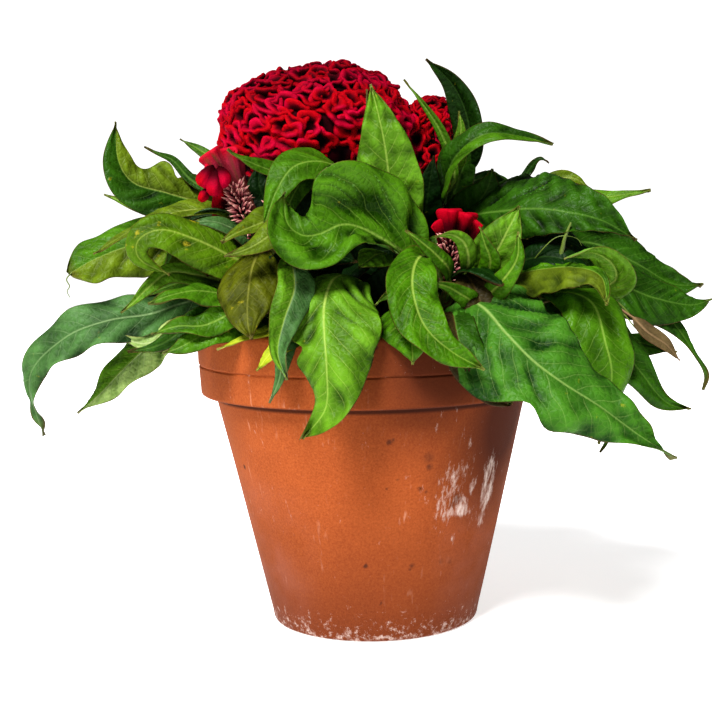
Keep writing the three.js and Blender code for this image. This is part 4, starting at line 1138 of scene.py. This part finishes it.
def comb_neck(line, radius, count, length, seed):
    """Florets round a neck: the golden angle apart, pointing outwards and a little up it."""
    rng = np.random.default_rng(seed)
    line = catmull(line, NECK_STEPS)[0]
    run = (np.arange(count) + 0.5) / count
    tangent = eased_tangent(line, run)
    first = unit(np.cross(tangent, [0.2, 0.9, 0.1]))
    second = np.cross(tangent, first)
    angle = (np.arange(count) * FLORET_TURN)[:, None]
    radial = np.cos(angle) * first + np.sin(angle) * second
    ways = radial + tangent * rng.uniform(0.1, 1.0, (count, 1)) + rng.normal(size=(count, 3)) * 0.25
    lengths = length * rng.uniform(0.7, 1.3, count)
    return spindles(along(line, run) + radial * radius, ways, lengths, np.full(count, FLORET_RADIUS))


# ---- The pot and the soil ----


def crumbs(places, sizes, seed):
    """Crumbs: cubes pushed out of square, each corner by up to a third of its size."""
    corner = np.array([[x, y, z] for z in (-1, 1) for x, y in ((-1, -1), (1, -1), (1, 1), (-1, 1))]) / 2
    rng = np.random.default_rng(seed)
    shapes = corner + rng.uniform(-0.3, 0.3, (len(places), 8, 3))
    points = places[:, None] + shapes * np.asarray(sizes)[:, None, None]
    faces = np.array([[3, 2, 1, 0], [4, 5, 6, 7], [0, 1, 5, 4], [1, 2, 6, 5], [2, 3, 7, 6], [3, 0, 4, 7]])
    quads = (faces[None] + 8 * np.arange(len(places))[:, None, None]).reshape(-1, 4)
    return points.reshape(-1, 3), quads, [], {}


def lathed(profile, sides):
    """A closed profile of (radius, height) turned round the Z axis, its radius a slow 0.25 mm uneven."""
    r, z = profile.T[:, :, None]
    angle = full_turn(sides)
    wobble = 0.25 * ripple(4, np.cos(angle)[None] * 1.5, np.sin(angle)[None] * 1.5, z / 40)
    faces = grid_faces(len(profile) + 1, sides, wrap=True) % (len(profile) * sides)
    return round_about(r + wobble, angle, z).reshape(-1, 3), faces, [], {}


def rounded(corners, steps=5):
    """Corners (radius, height, cut) with each one rounded by a parabola that starts its cut away from it."""
    points = []
    count = len(corners)
    for i, (r, z, cut) in enumerate(corners):
        here = np.array([r, z])
        before, after = (np.array(corners[j % count][:2]) for j in (i - 1, i + 1))
        if cut == 0:
            points.append(here)
            continue
        start = here + (before - here) / np.linalg.norm(before - here) * cut
        end = here + (after - here) / np.linalg.norm(after - here) * cut
        for t in np.linspace(0, 1, steps):
            points.append((1 - t) ** 2 * start + 2 * t * (1 - t) * here + t**2 * end)
    return np.array(points)


# ---- Finishes ----

# Inputs in order: a MapRange takes its value, the range that comes in and the range that goes out, and a
# MixRGB its share and its two colours.


def in_millimetres(node, stretch=(1, 1, 1)):
    """Object coordinates in millimetres, each stretched by its own factor."""
    place = node("TexCoord", take="Object")
    return node("Mapping", dict(Vector=place, Scale=tuple(1000 * k for k in stretch)))


def fired_terracotta():
    """Earthenware, thrown and fired unglazed: matt, chalky orange-brown. Damp and salts from the soil have
    bloomed on it as a grey veil, white crusts on one flank and round the foot, and there are small pits.
    Painted shadow darkens the rim below the leaves, one flank and the corner under the rim band, and the wall
    is darker towards the bottom."""
    made, node = material("terracotta_fired")
    spot = in_millimetres(node)
    x, _, z = node("SeparateXYZ", [spot], take=XYZ)
    broad = node("TexNoise", dict(Vector=spot, Scale=1 / 46, Detail=4.0, Roughness=0.5))
    clay = node("ValToRGB", [broad], stops=[(0.28, "#82401c"), (0.5, "#8e4720"), (0.74, "#9a5026")])
    grain = node("TexNoise", dict(Vector=spot, Scale=1 / 1.1, Detail=5.0, Roughness=0.7))
    grains = node("ValToRGB", [grain], stops=[(0.3, "#7a3010"), (0.7, "#c8703a")])
    colour = node("MixRGB", [0.35, clay, grains])
    # vertical streaks, 2 mm wide and up to 90 mm long
    run = node("TexNoise", dict(Vector=in_millimetres(node, (1, 1, 0.035)), Scale=1 / 2.6, Detail=2.0))
    patchy = node("TexNoise", dict(Vector=spot, Scale=1 / 24, Detail=3.0))
    streak = node("MapRange", [run, 0.62, 0.78, 0, 0.5])
    streaks = node("Math", [streak, node("MapRange", [patchy, 0.5, 0.66])], operation="MULTIPLY")
    # grey bloom: strongest low on both flanks
    flank = node("MapRange", [node("Math", [x], operation="ABSOLUTE"), 28.0, 72.0])
    veil = node("Math", [node("MapRange", [z, 95.0, 10.0]), flank], operation="MULTIPLY")
    veil = node("Math", [veil, node("MapRange", [patchy, 0.35, 0.65, 0, 0.75])], operation="MULTIPLY")
    # painted shadow and moisture: the rim below the leaves darker with both, the wall darker towards the
    # bottom
    rim_shadow_and_damp = node("VectorMath", [spot, (38.0, -92.0, 160.0)], take="Value", operation="DISTANCE")
    rim_shadow_and_damp = node("MapRange", [rim_shadow_and_damp, 72.0, 20.0, 0, 0.9])
    sunk = node("MapRange", [z, 90.0, 4.0, 0, 0.7])
    # a painted shadow of the leaf that hangs above one flank
    painted_flank_shadow = in_millimetres(node, (1, 1, 0.75))
    painted_flank_shadow = node("VectorMath", [painted_flank_shadow, (74.0, -46.0, 90.0)], take="Value", operation="DISTANCE")
    painted_flank_shadow = node("MapRange", [painted_flank_shadow, 66.0, 16.0])
    painted_shadow_and_damp = node("Math", [node("Math", [rim_shadow_and_damp, sunk], operation="MAXIMUM"), painted_flank_shadow], operation="MAXIMUM")
    # painted shadow in the corner below the rim band, 3 mm wide
    corner = node("Math", [z, BAND_FOOT - 1.6], operation="SUBTRACT")
    painted_rim_shadow = node("MapRange", [node("Math", [corner], operation="ABSOLUTE"), 2.4, 0.9, 0, 0.85])
    # white crust: a patch on one flank 60 mm across, drawn down in streaks, and a ragged band round the foot
    ragged = in_millimetres(node, (1, 1, 0.35))
    ragged = node("TexNoise", dict(Vector=ragged, Scale=1 / 6, Detail=9.0, Roughness=0.74))
    patch = 0.0
    for stretch, middle, wide, most in (
        ((1, 1, 0.28), (66.0, -47.0, 77.0), 11.0, 0.26),
        ((0.4, 0.4, 1), (47.0, -61.0, 72.5), 8.0, 0.24),
        ((0.8, 0.8, 0.5), (46.0, -62.0, 84.0), 22.0, 0.16),
    ):
        centre = tuple(a * b for a, b in zip(stretch, middle))
        near = node("VectorMath", [in_millimetres(node, stretch), centre], take="Value", operation="DISTANCE")
        near = node("MapRange", [near, wide, 0.25 * wide, 0, most])
        patch = node("Math", [near, patch], operation="MAXIMUM")
    patch = node("Math", [ragged, patch], operation="ADD")
    fine = node("TexNoise", dict(Vector=spot, Scale=1 / 4, Detail=9.0, Roughness=0.78))
    foot = node("Math", [fine, node("MapRange", [z, 22.0, 2.0, 0, 0.15])], operation="ADD")
    crust = node("MapRange", [node("Math", [patch, foot], operation="MAXIMUM"), 0.64, 0.82, 0, 0.72])
    # pits and soot marks about 2 mm across, 26 mm apart
    pit = node("MapRange", [node("TexVoronoi", dict(Vector=spot, Scale=1 / 26)), 0.075, 0.03, 0, 0.8])
    pits = node("Math", [pit, node("MapRange", [patchy, 0.5, 0.52])], operation="MULTIPLY")
    for right, high, size, most in POT_MARKS:
        share = high / BAND_FOOT
        radius = RIM_RADIUS if share > 1 else FOOT_RADIUS + (BODY_RADIUS - FOOT_RADIUS) * share
        centre = (right, -math.sqrt(radius**2 - right**2), high)
        near = node("VectorMath", [spot, centre], take="Value", operation="DISTANCE")
        near = node("Math", [fine, 3.2 * size, near], operation="MULTIPLY_ADD")
        mark = node("MapRange", [near, 2.8 * size, 1.8 * size, 0, most])
        pits = node("Math", [pits, mark], operation="MAXIMUM")
    # of these colours, the dark brown is painted shadow with some moisture, and the near black is painted
    # shadow
    for share, tone in (
        (veil, "#a8736a"), (streaks, "#d9a58c"), (painted_shadow_and_damp, "#4a200e"),
        (painted_rim_shadow, "#2a0f06"), (crust, "#dccbc2"), (pits, "#3a2017"),
    ):
        colour = node("MixRGB", [share, colour, tone])
    raised = node("Math", [node("Math", [grain, pits], operation="SUBTRACT"), crust], operation="ADD")
    bump = node("Bump", dict(Height=raised, Strength=0.35, Distance=0.0004))
    finish_material(node, Base_Color=colour, Roughness=0.82, Specular_IOR_Level=0.15, Normal=bump)
    return made


def potting_soil():
    """Peat compost: dark, moist, crumbly and matt."""
    made, node = material("peat_compost")
    crumb = node("TexNoise", dict(Vector=in_millimetres(node), Scale=1 / 3, Detail=6.0, Roughness=0.7))
    tint = node("ValToRGB", [crumb], stops=[(0.3, "#120c08"), (0.55, "#2b1e14"), (0.8, "#5a4330")])
    bump = node("Bump", dict(Height=crumb, Strength=0.8, Distance=0.0015))
    finish_material(node, Base_Color=tint, Roughness=0.95, Normal=bump)
    return made


def stem_bark():
    """Herbaceous stem: ribbed and waxy, green flushed with red along the ribs."""
    made, node = material("stem_green_ribbed")
    fibre = node("TexNoise", dict(Vector=in_millimetres(node, (1, 1, 0.06)), Scale=1 / 1.6, Detail=3.0))
    tint = node("ValToRGB", [fibre], stops=[(0.35, "#8a4a3a"), (0.5, "#7f8c45"), (0.7, "#a9b25c")])
    bump = node("Bump", dict(Height=fibre, Strength=0.4, Distance=0.0004))
    finish_material(node, Base_Color=tint, Roughness=0.45, Normal=bump)
    return made


def leaf_skin(name, dark, light, vein, shine, under=False, yellow=0.0):
    """Living leaf blade: a waxy skin that is glossier above than below, with a pale midrib, faint side veins
    and a fine net between them. The veins lie in grooves above and stand out below."""
    made, node = material(name)
    chart = node("Attribute", take="Vector", attribute_name="blade_chart")
    from_rib, phase, margin = node("SeparateXYZ", [chart], take=XYZ)
    place = node("Attribute", take="Vector", attribute_name="blade_place")
    part, lofty, spacing = node("SeparateXYZ", [place], take=XYZ)
    spot = in_millimetres(node)
    off = node("Math", [phase, 0.5], operation="PINGPONG")
    thin = node("MapRange", [node("Math", [off, spacing], operation="MULTIPLY"), 0.5, 0.08])
    thin = node("Math", [thin, node("MapRange", [margin, 0.5, 9.0])], operation="MULTIPLY")
    rib_edge = node("MapRange", [part, 0, 1, 1.4, 0.4])
    rib_tone = node("MapRange", [part, 0.1, 0.8, 0.85, 0.3])
    rib = node("MapRange", [from_rib, rib_edge, 0.25, 0, rib_tone])
    # the net of small veins: cells about 3.4 mm across, and finer ones of 1.3 mm inside them
    net, fine = (
        node("TexVoronoi", dict(Vector=spot, Scale=1 / size), feature="DISTANCE_TO_EDGE")
        for size in (3.4, 1.3)
    )
    cushion = node("MapRange", [net, 0.0, 0.32], interpolation_type="SMOOTHSTEP")
    net = node("MapRange", [net, 0.07, 0.0])
    blotch = node("TexNoise", dict(Vector=spot, Scale=1 / 15, Detail=3.0, Roughness=0.5))
    # painted highlight and shade: lighter on the swellings, darker and duller in the hollows
    painted_relief_shading = node("MapRange", [lofty, -1.5, 1.5, -0.2, 0.22])
    swell = node("Math", [blotch, 0.5, painted_relief_shading], operation="MULTIPLY_ADD")
    swell = node("Math", [off, 0.12, swell], operation="MULTIPLY_ADD")
    green = node("ValToRGB", [swell], stops=[(0.05, dark), (0.44, light)])
    lines = node("Math", [thin, 0.24], operation="MULTIPLY")
    lines = node("Math", [net, 0.07, lines], operation="MULTIPLY_ADD")
    lines = node("Math", [lines, rib], operation="MAXIMUM")
    # ageing: yellow flecks, and a thin brown margin and tip
    fleck = node("TexNoise", dict(Vector=spot, Scale=1 / 7, Detail=5.0, Roughness=0.6))
    aged = node("MapRange", [fleck, 0.68 - yellow, 0.8 - yellow, 0, 0.7])
    tip = node("MapRange", [part, 0.94, 1.0, 0, 0.5])
    rim = node("MapRange", [margin, 0.5, 0.12, 0, 0.6])
    brown = node("Math", [tip, rim], operation="MAXIMUM")
    colour = green
    for share, tone in ((lines, vein), (aged, "#a89a24"), (brown, "#5a3524")):
        colour = node("MixRGB", [share, colour, tone])
    rough = node("MapRange", [blotch, 0.3, 0.7, shine + 0.12, shine - 0.04])
    relief = node("Math", [lines, 2.0 if under else -2.0, cushion], operation="MULTIPLY_ADD")
    relief = node("Math", [fine, 0.2, relief], operation="MULTIPLY_ADD")
    pores = node("TexNoise", dict(Vector=spot, Scale=1 / 7, Detail=5.0, Roughness=0.55))
    height = node("Math", [pores, 3.0, relief], operation="MULTIPLY_ADD")
    bump = node("Bump", dict(Height=height, Strength=0.34, Distance=0.0006))
    finish_material(node, Base_Color=colour, Roughness=rough, IOR=1.42, Specular_IOR_Level=0.13, Normal=bump)
    return made


def crest_velvet(name, deep, side, lip, streaked=False):
    """Crest plush: thousands of tiny coloured scales that make a velvet skin, with painted shade that makes
    it dark in the folds, and a soft pale sheen where it is seen at a slant."""
    made, node = material(name)
    chart = node("Attribute", take="Vector", attribute_name="fold_chart")
    up, own, pale = node("SeparateXYZ", [chart], take=XYZ)
    pile = node("TexNoise", dict(Vector=in_millimetres(node), Scale=1 / 0.8, Detail=4.0, Roughness=0.7))
    # painted shade: the ramp darkens the plush from the lips to the hollows; on the fans it darkens towards
    # the neck
    colour = node("ValToRGB", [up], stops=[(0.12, deep), (0.6, side), (0.96, lip)])
    if streaked:
        rib = node("MapRange", [own, 0.42, 0.62, 0, 0.85])
        share = node("Math", [rib, node("MapRange", [up, 1.02, 0.88])], operation="MULTIPLY")
        second = "#66502c"
    else:
        share = node("MapRange", [up, 0.5, 1.0, 0, 0.6])
        second = node("ValToRGB", [pale], stops=[(0.4, "#a80216"), (0.7, "#b80642")])
    colour = node("MixRGB", [share, colour, second])
    shade = node("MapRange", [pile, 0.3, 0.7, 0.72, 1.2])
    colour = node("MixRGB", [1.0, colour, shade], blend_type="MULTIPLY")
    bump = node("Bump", dict(Height=pile, Strength=0.6, Distance=0.0005))
    finish_material(node, Base_Color=colour, Roughness=0.62, Specular_IOR_Level=0.04,
                    Sheen_Weight=0.018, Sheen_Roughness=0.4, Sheen_Tint="#ff1850", Normal=bump)
    return made


def petal_scale():
    """Papery floret scales: dry, thin and shiny, mauve at the foot and pale pink at the point."""
    made, node = material("floret_scale")
    chart = node("Attribute", take="Vector", attribute_name="fold_chart")
    up, own, _ = node("SeparateXYZ", [chart], take=XYZ)
    tint = node("ValToRGB", [up], stops=[(0.0, "#6a2430"), (0.4, "#b06468"), (1.0, "#d8a898")])
    shade = node("MapRange", [own, 0, 1, 0.55, 1.15])
    colour = node("MixRGB", [1.0, tint, shade], blend_type="MULTIPLY")
    finish_material(node, Base_Color=colour, Roughness=0.6, Specular_IOR_Level=0.2)
    return made


def plain(name, colour, roughness, **more):
    """A smooth surface of one colour."""
    made, node = material(name)
    finish_material(node, Base_Color=colour, Roughness=roughness, **more)
    return made


def leaf_skins(tone):
    """The upper and under skin of one tone of leaf."""
    above, below = SKINS[tone]
    upper = leaf_skin("leaf_skin_" + tone, *above, yellow=YELLOWED.get(tone, 0.0))
    return [upper, leaf_skin("leaf_underside_" + tone, *below, under=True)]


# ---- The pot and the soil, built ----

POT_SIDES = 168
WALL_STEPS = 24
SOIL_SIDES = 150
SOIL_RINGS = 46
CRUMBS = 320
CRUMBS_REACH = 86
# where round the rim a few crumbs lie, in degrees
RIM_CRUMBS = (-88, -86.4, -84.9, -87.4, -90.5, -83.6, 25, 61, 140, 163, 214, 228)

clay = fired_terracotta()
inner = RIM_RADIUS - RIM_WALL
wall_steps = [
    (FOOT_RADIUS + (BODY_RADIUS - FOOT_RADIUS) * t, 1.2 + (BAND_FOOT - 2.2) * t, 0)
    for t in np.linspace(0.04, 0.97, WALL_STEPS)
]
pot_profile = rounded([
    (DRAIN_RADIUS, 0, 1), (FOOT_RADIUS, 0, 1.6), *wall_steps, (BODY_RADIUS, BAND_FOOT - 1, 0.8),
    (RIM_RADIUS - 2.0, BAND_FOOT, 1.8), (RIM_RADIUS - 1.0, RIM_GROOVE_HEIGHT - 0.9, 0.4),
    (RIM_RADIUS - 1.9, RIM_GROOVE_HEIGHT, 0.3), (RIM_RADIUS - 0.7, RIM_GROOVE_HEIGHT + 0.9, 0.5),
    (RIM_RADIUS, POT_HEIGHT, 3.2), (inner, POT_HEIGHT, 4), (inner - 1.6, BAND_FOOT + 20, 0),
    (BODY_RADIUS - WALL, BAND_FOOT - 4, 3), (FOOT_RADIUS - WALL, FLOOR, 4), (DRAIN_RADIUS, FLOOR, 1),
])
piece("pot_terracotta", *lathed(pot_profile, POT_SIDES), [clay], "terracotta", ["flowerpot"])

peat = potting_soil()
ring = np.linspace(0.02, 1, SOIL_RINGS)[:, None]
turn = full_turn(SOIL_SIDES)
x, y, _ = np.moveaxis(round_about(SOIL_RADIUS * ring, turn, 0.0), -1, 0)
mound = SOIL_TOP - 1.0 + 2.6 * ripple(21, x / 14, y / 14, waves=6) * (1 - ring**6)
mound = mound + 1.3 * ripple(22, x / 3.5, y / 3.5, waves=7)
# the radius and height of its side and foot, clear of the pot's wall
skirt = ((SOIL_RADIUS, SOIL_TOP - 5), (81.0, 128.0), (51.0, FLOOR + GAP), (2.0, FLOOR + GAP))
points = np.concatenate([np.stack([x, y, mound], -1), [round_about(r, turn, z) for r, z in skirt]])
soil_faces = closed_rings(len(points), SOIL_SIDES)
piece("soil_mound", points.reshape(-1, 3), *soil_faces, {}, [peat], "soil", ["potting_soil"])

rng = np.random.default_rng(51)
angle = rng.uniform(0, 2 * np.pi, CRUMBS)
radius = CRUMBS_REACH * np.sqrt(rng.uniform(0.1, 1, CRUMBS))
places = round_about(radius, angle, SOIL_TOP + rng.uniform(-0.6, 2.4, CRUMBS))
piece("soil_crumbs", *crumbs(places, rng.uniform(1.4, 4.2, CRUMBS), 52), [peat], "soil")
angle = np.radians(np.array(RIM_CRUMBS))
places = round_about(rng.uniform(91.5, 96.5, len(angle)), angle, POT_HEIGHT + 0.6)
piece("rim_crumbs", *crumbs(places, rng.uniform(1.0, 2.0, len(angle)), 53), [peat], "soil")

# ---- The stems, built ----

STEM_SIDES = 20
# the rings of a stem are this many steps of its line apart
STEM_STEP = 5

bark = stem_bark()
for number, (name, (thick, _)) in enumerate(STEMS.items()):
    line = stem_line(name)[::STEM_STEP]
    turn = full_turn(STEM_SIDES)
    run = np.linspace(0, 1, len(line))[:, None]
    size = thick * (0.97 + 0.05 * np.cos(5 * turn) + 0.04 * ripple(number, run * 9, np.cos(turn)[None]))
    piece("stem_" + name, *tube(line, size, STEM_SIDES), [bark], "stem", [name])

# ---- The leaves, built ----

YOUNG_SEED = 60
HIDDEN_SEED = 200
INNER_LEAVES = 44

skins = {tone: leaf_skins(tone) for tone in SKINS}
for number, (name, leaf) in enumerate(LEAVES.items()):
    add_leaf("blade_" + name, leaf, number, FINE_GRID if "fine" in leaf else LEAF_GRID, ["leaf_" + name])
for number, (name, leaf) in enumerate(YOUNG_LEAVES.items()):
    add_leaf(name, leaf, YOUNG_SEED + number, YOUNG_GRID)

rng = np.random.default_rng(77)
# the inner leaves take the shaded tone: painted shade deep in the plant
inner_leaves = []
for k in range(INNER_LEAVES):
    stem, height = list(STEMS)[k % len(STEMS)], 176 + 9 * (k % 7)
    spread, droop = rng.uniform(34, 48), rng.uniform(0, 0.35)
    inner_leaves.append(shoot_leaf(stem, height, 2.4 * k, spread, droop, 13, "shaded"))
back_leaves = []
for stem, first, last, heights in BACK_SHOOTS:
    for k, height in enumerate(heights):
        for start in (0.1, 0.55):
            angle = first + (last - first) * ((k * GOLDEN_SHARE + start) % 1)
            spread, droop, width = rng.uniform(52, 72), rng.uniform(0.1, 0.5), rng.uniform(13, 18)
            tone = BACK_TONES[len(back_leaves) % len(BACK_TONES)]
            back_leaves.append(shoot_leaf(stem, height, angle, spread, droop, width, tone))
for group, leaves in (("inner_leaf_", inner_leaves), ("back_leaf_", back_leaves)):
    for number, leaf in enumerate(leaves):
        add_leaf(group + str(number), leaf, HIDDEN_SEED + number, HIDDEN_GRID)

thread = plain("tendril_skin", "#64762c", 0.5)
for name, (size, points) in TENDRILS.items():
    line = catmull(points, THREAD_STEPS)[0]
    taper = size * (1 - 0.6 * np.linspace(0, 1, len(line)))[:, None]
    piece(name, *tube(line, taper, THREAD_SIDES), [thread], "leaf")

# ---- The crests, built ----

plush = crest_velvet("crest_plush_red", "#100003", "#4c0010", "#ac0210")
flare = crest_velvet("crest_plush_coral", "#6a3030", "#b83c54", "#b81430", streaked=True)
scale = petal_scale()
for name, (stem, squash, shrink, spacings, seed, profile) in CRESTS.items():
    base = (profile, squash, *rest_frame(stem))
    centres, ways, high = spread_on_dome(*base, spacings, seed)
    shown = high > FOLDS_FROM
    centres, ways, high = centres[shown], ways[shown], high[shown]
    sizes = np.interp(high, *spacings) * FOLD_SIZE * np.random.default_rng(seed).uniform(0.85, 1.2, len(high))
    centres = centres - ways * (FOLD_SINK * sizes[:, None])
    cups = ruffled_cups(centres, ways, sizes, seed, long=0.22, tall=0.17)
    points, *shape = join_parts(crest_core(*base, seed, shrink), cups)
    if name == "main_crest":
        points = settled(points)
    piece("plush_" + name, points, *shape, [plush], "crest", [name])

_, place = rest_frame("left_shoot")
fan = ruffled_fan(
    place, (-0.46, -0.2, 0.86), (0.86, 0.3, 0.42), halves=(3.5, 11.5), tall=42, waves=2.3, swing=6.5,
    loop=2.0, droop=0.3, thick=1.4, seed=3, grid=(111, 61),
)
piece("comb_fan_left", *fan, [flare], "crest", ["left_comb"])
lobes = ruffled_fan(
    place + [-4, -6, 3], (-0.85, -0.25, 0.45), (0.25, -0.3, 0.9), halves=(3, 6), tall=17, waves=1.6,
    swing=2.5, loop=1.0, droop=0.25, thick=2.4, seed=6, grid=(61, 41),
)
bead = ruffled_fan(
    place + [-12, -3, -4], (-0.9, -0.3, 0.1), (0.1, -0.2, 0.9), halves=(2, 5), tall=10, waves=1.5,
    swing=1.5, loop=0.6, droop=0.2, thick=2.0, seed=7, grid=(31, 31),
)
centres, ways, sizes = (np.array(values) for values in zip(*LEFT_LOBES))
drops = ruffled_cups(centres, unit(ways), sizes, 31, around=24, long=0.2, tall=0.1, profile=LOBE_PROFILE)
piece("comb_lobes_left", *join_parts(lobes, bead, drops), [plush], "crest")
centres, ways, sizes = (np.array(values) for values in zip(*BACK_LOBES))
drops = ruffled_cups(centres, unit(ways), sizes, 32, long=0.18, tall=0.16)
piece("comb_lobes_back", *drops, [plush], "crest")
_, place = rest_frame("right_shoot")
fan = ruffled_fan(
    place, (0.12, -0.08, 1), (1, 0.1, 0.05), halves=(4.0, 12), tall=36, waves=2.8, swing=4.8,
    loop=2.2, droop=0.24, thick=1.6, seed=5, grid=(181, 61), uneven=1.8,
)
piece("comb_fan_right", *fan, [plush], "crest", ["small_comb"])
for number, (name, neck) in enumerate(NECKS.items()):
    piece(name, *comb_neck(*neck, 40 + number), [scale], "crest")

# ---- Light, floor and camera, in metres ----

FLOOR_HALF, FLOOR_HEIGHT, FLOOR_GLOW = 3.0, -0.0005, 0.6
LAMP_WAY, LAMP_STRENGTH, LAMP_SPREAD = (0.36, 0.74, -0.96), 4.7, 20
CAMERA_PLACE, CAMERA_ANGLES, CAMERA_LENS, SENSOR_WIDTH = (0, -0.786, 0.230), (-0.45, 5.83, -1.23), 67.9, 36

floor = bpy.data.meshes.new("floor")
corners = [(x * FLOOR_HALF, y * FLOOR_HALF, FLOOR_HEIGHT) for x, y in ((-1, -1), (1, -1), (1, 1), (-1, 1))]
floor.from_pydata(corners, [], [(0, 1, 2, 3)])
paper = plain("studio_paper", "#fdfdfd", 0.9, Emission_Color="#ffffff", Emission_Strength=FLOOR_GLOW)
floor.materials.append(paper)
ground = placed("floor", floor)

# a distant soft lamp that shines back, right and down
lamp = bpy.data.lights.new("key", "SUN")
lamp.energy = LAMP_STRENGTH
lamp.angle = math.radians(LAMP_SPREAD)
back = -unit(np.array(LAMP_WAY))
right = unit(np.cross([0, 0, 1.0], back))
placed("key", lamp, (right, np.cross(back, right), back))

# a white sweep to look at, and a dim fill, most of it from the left and from near the horizon
world = bpy.data.worlds.new("studio")
node = emptied(world)
x, _, z = node("SeparateXYZ", [node("TexCoord", take="Generated")], take=XYZ)
dim = node("MapRange", [z, 0.25, 0.6, 1.0, 0.3])
from_left = node("MapRange", [x, -0.5, 0.6, 0.55, 0.16])
fill = node("Math", [dim, from_left], operation="MULTIPLY")
shown = node("Math", [fill, node("LightPath", take="Is Camera Ray")], operation="MAXIMUM")
node("OutputWorld", [node("Background", ["#ffffff", shown])], take=())
bpy.context.scene.world = world
bpy.context.scene.view_settings.view_transform = "Standard"
bpy.context.scene.view_settings.look = "Medium High Contrast"

yaw, pitch, roll = (math.radians(angle) for angle in CAMERA_ANGLES)
ahead = np.array([math.sin(yaw) * math.cos(pitch), math.cos(yaw) * math.cos(pitch), -math.sin(pitch)])
level = np.array([math.cos(yaw), -math.sin(yaw), 0.0])
above = np.cross(level, ahead)
right = math.cos(roll) * level + math.sin(roll) * above
top_way = -math.sin(roll) * level + math.cos(roll) * above
camera = bpy.data.cameras.new("camera")
camera.sensor_width = SENSOR_WIDTH
camera.lens = CAMERA_LENS
bpy.context.scene.camera = placed("camera", camera, (right, top_way, -ahead), CAMERA_PLACE)
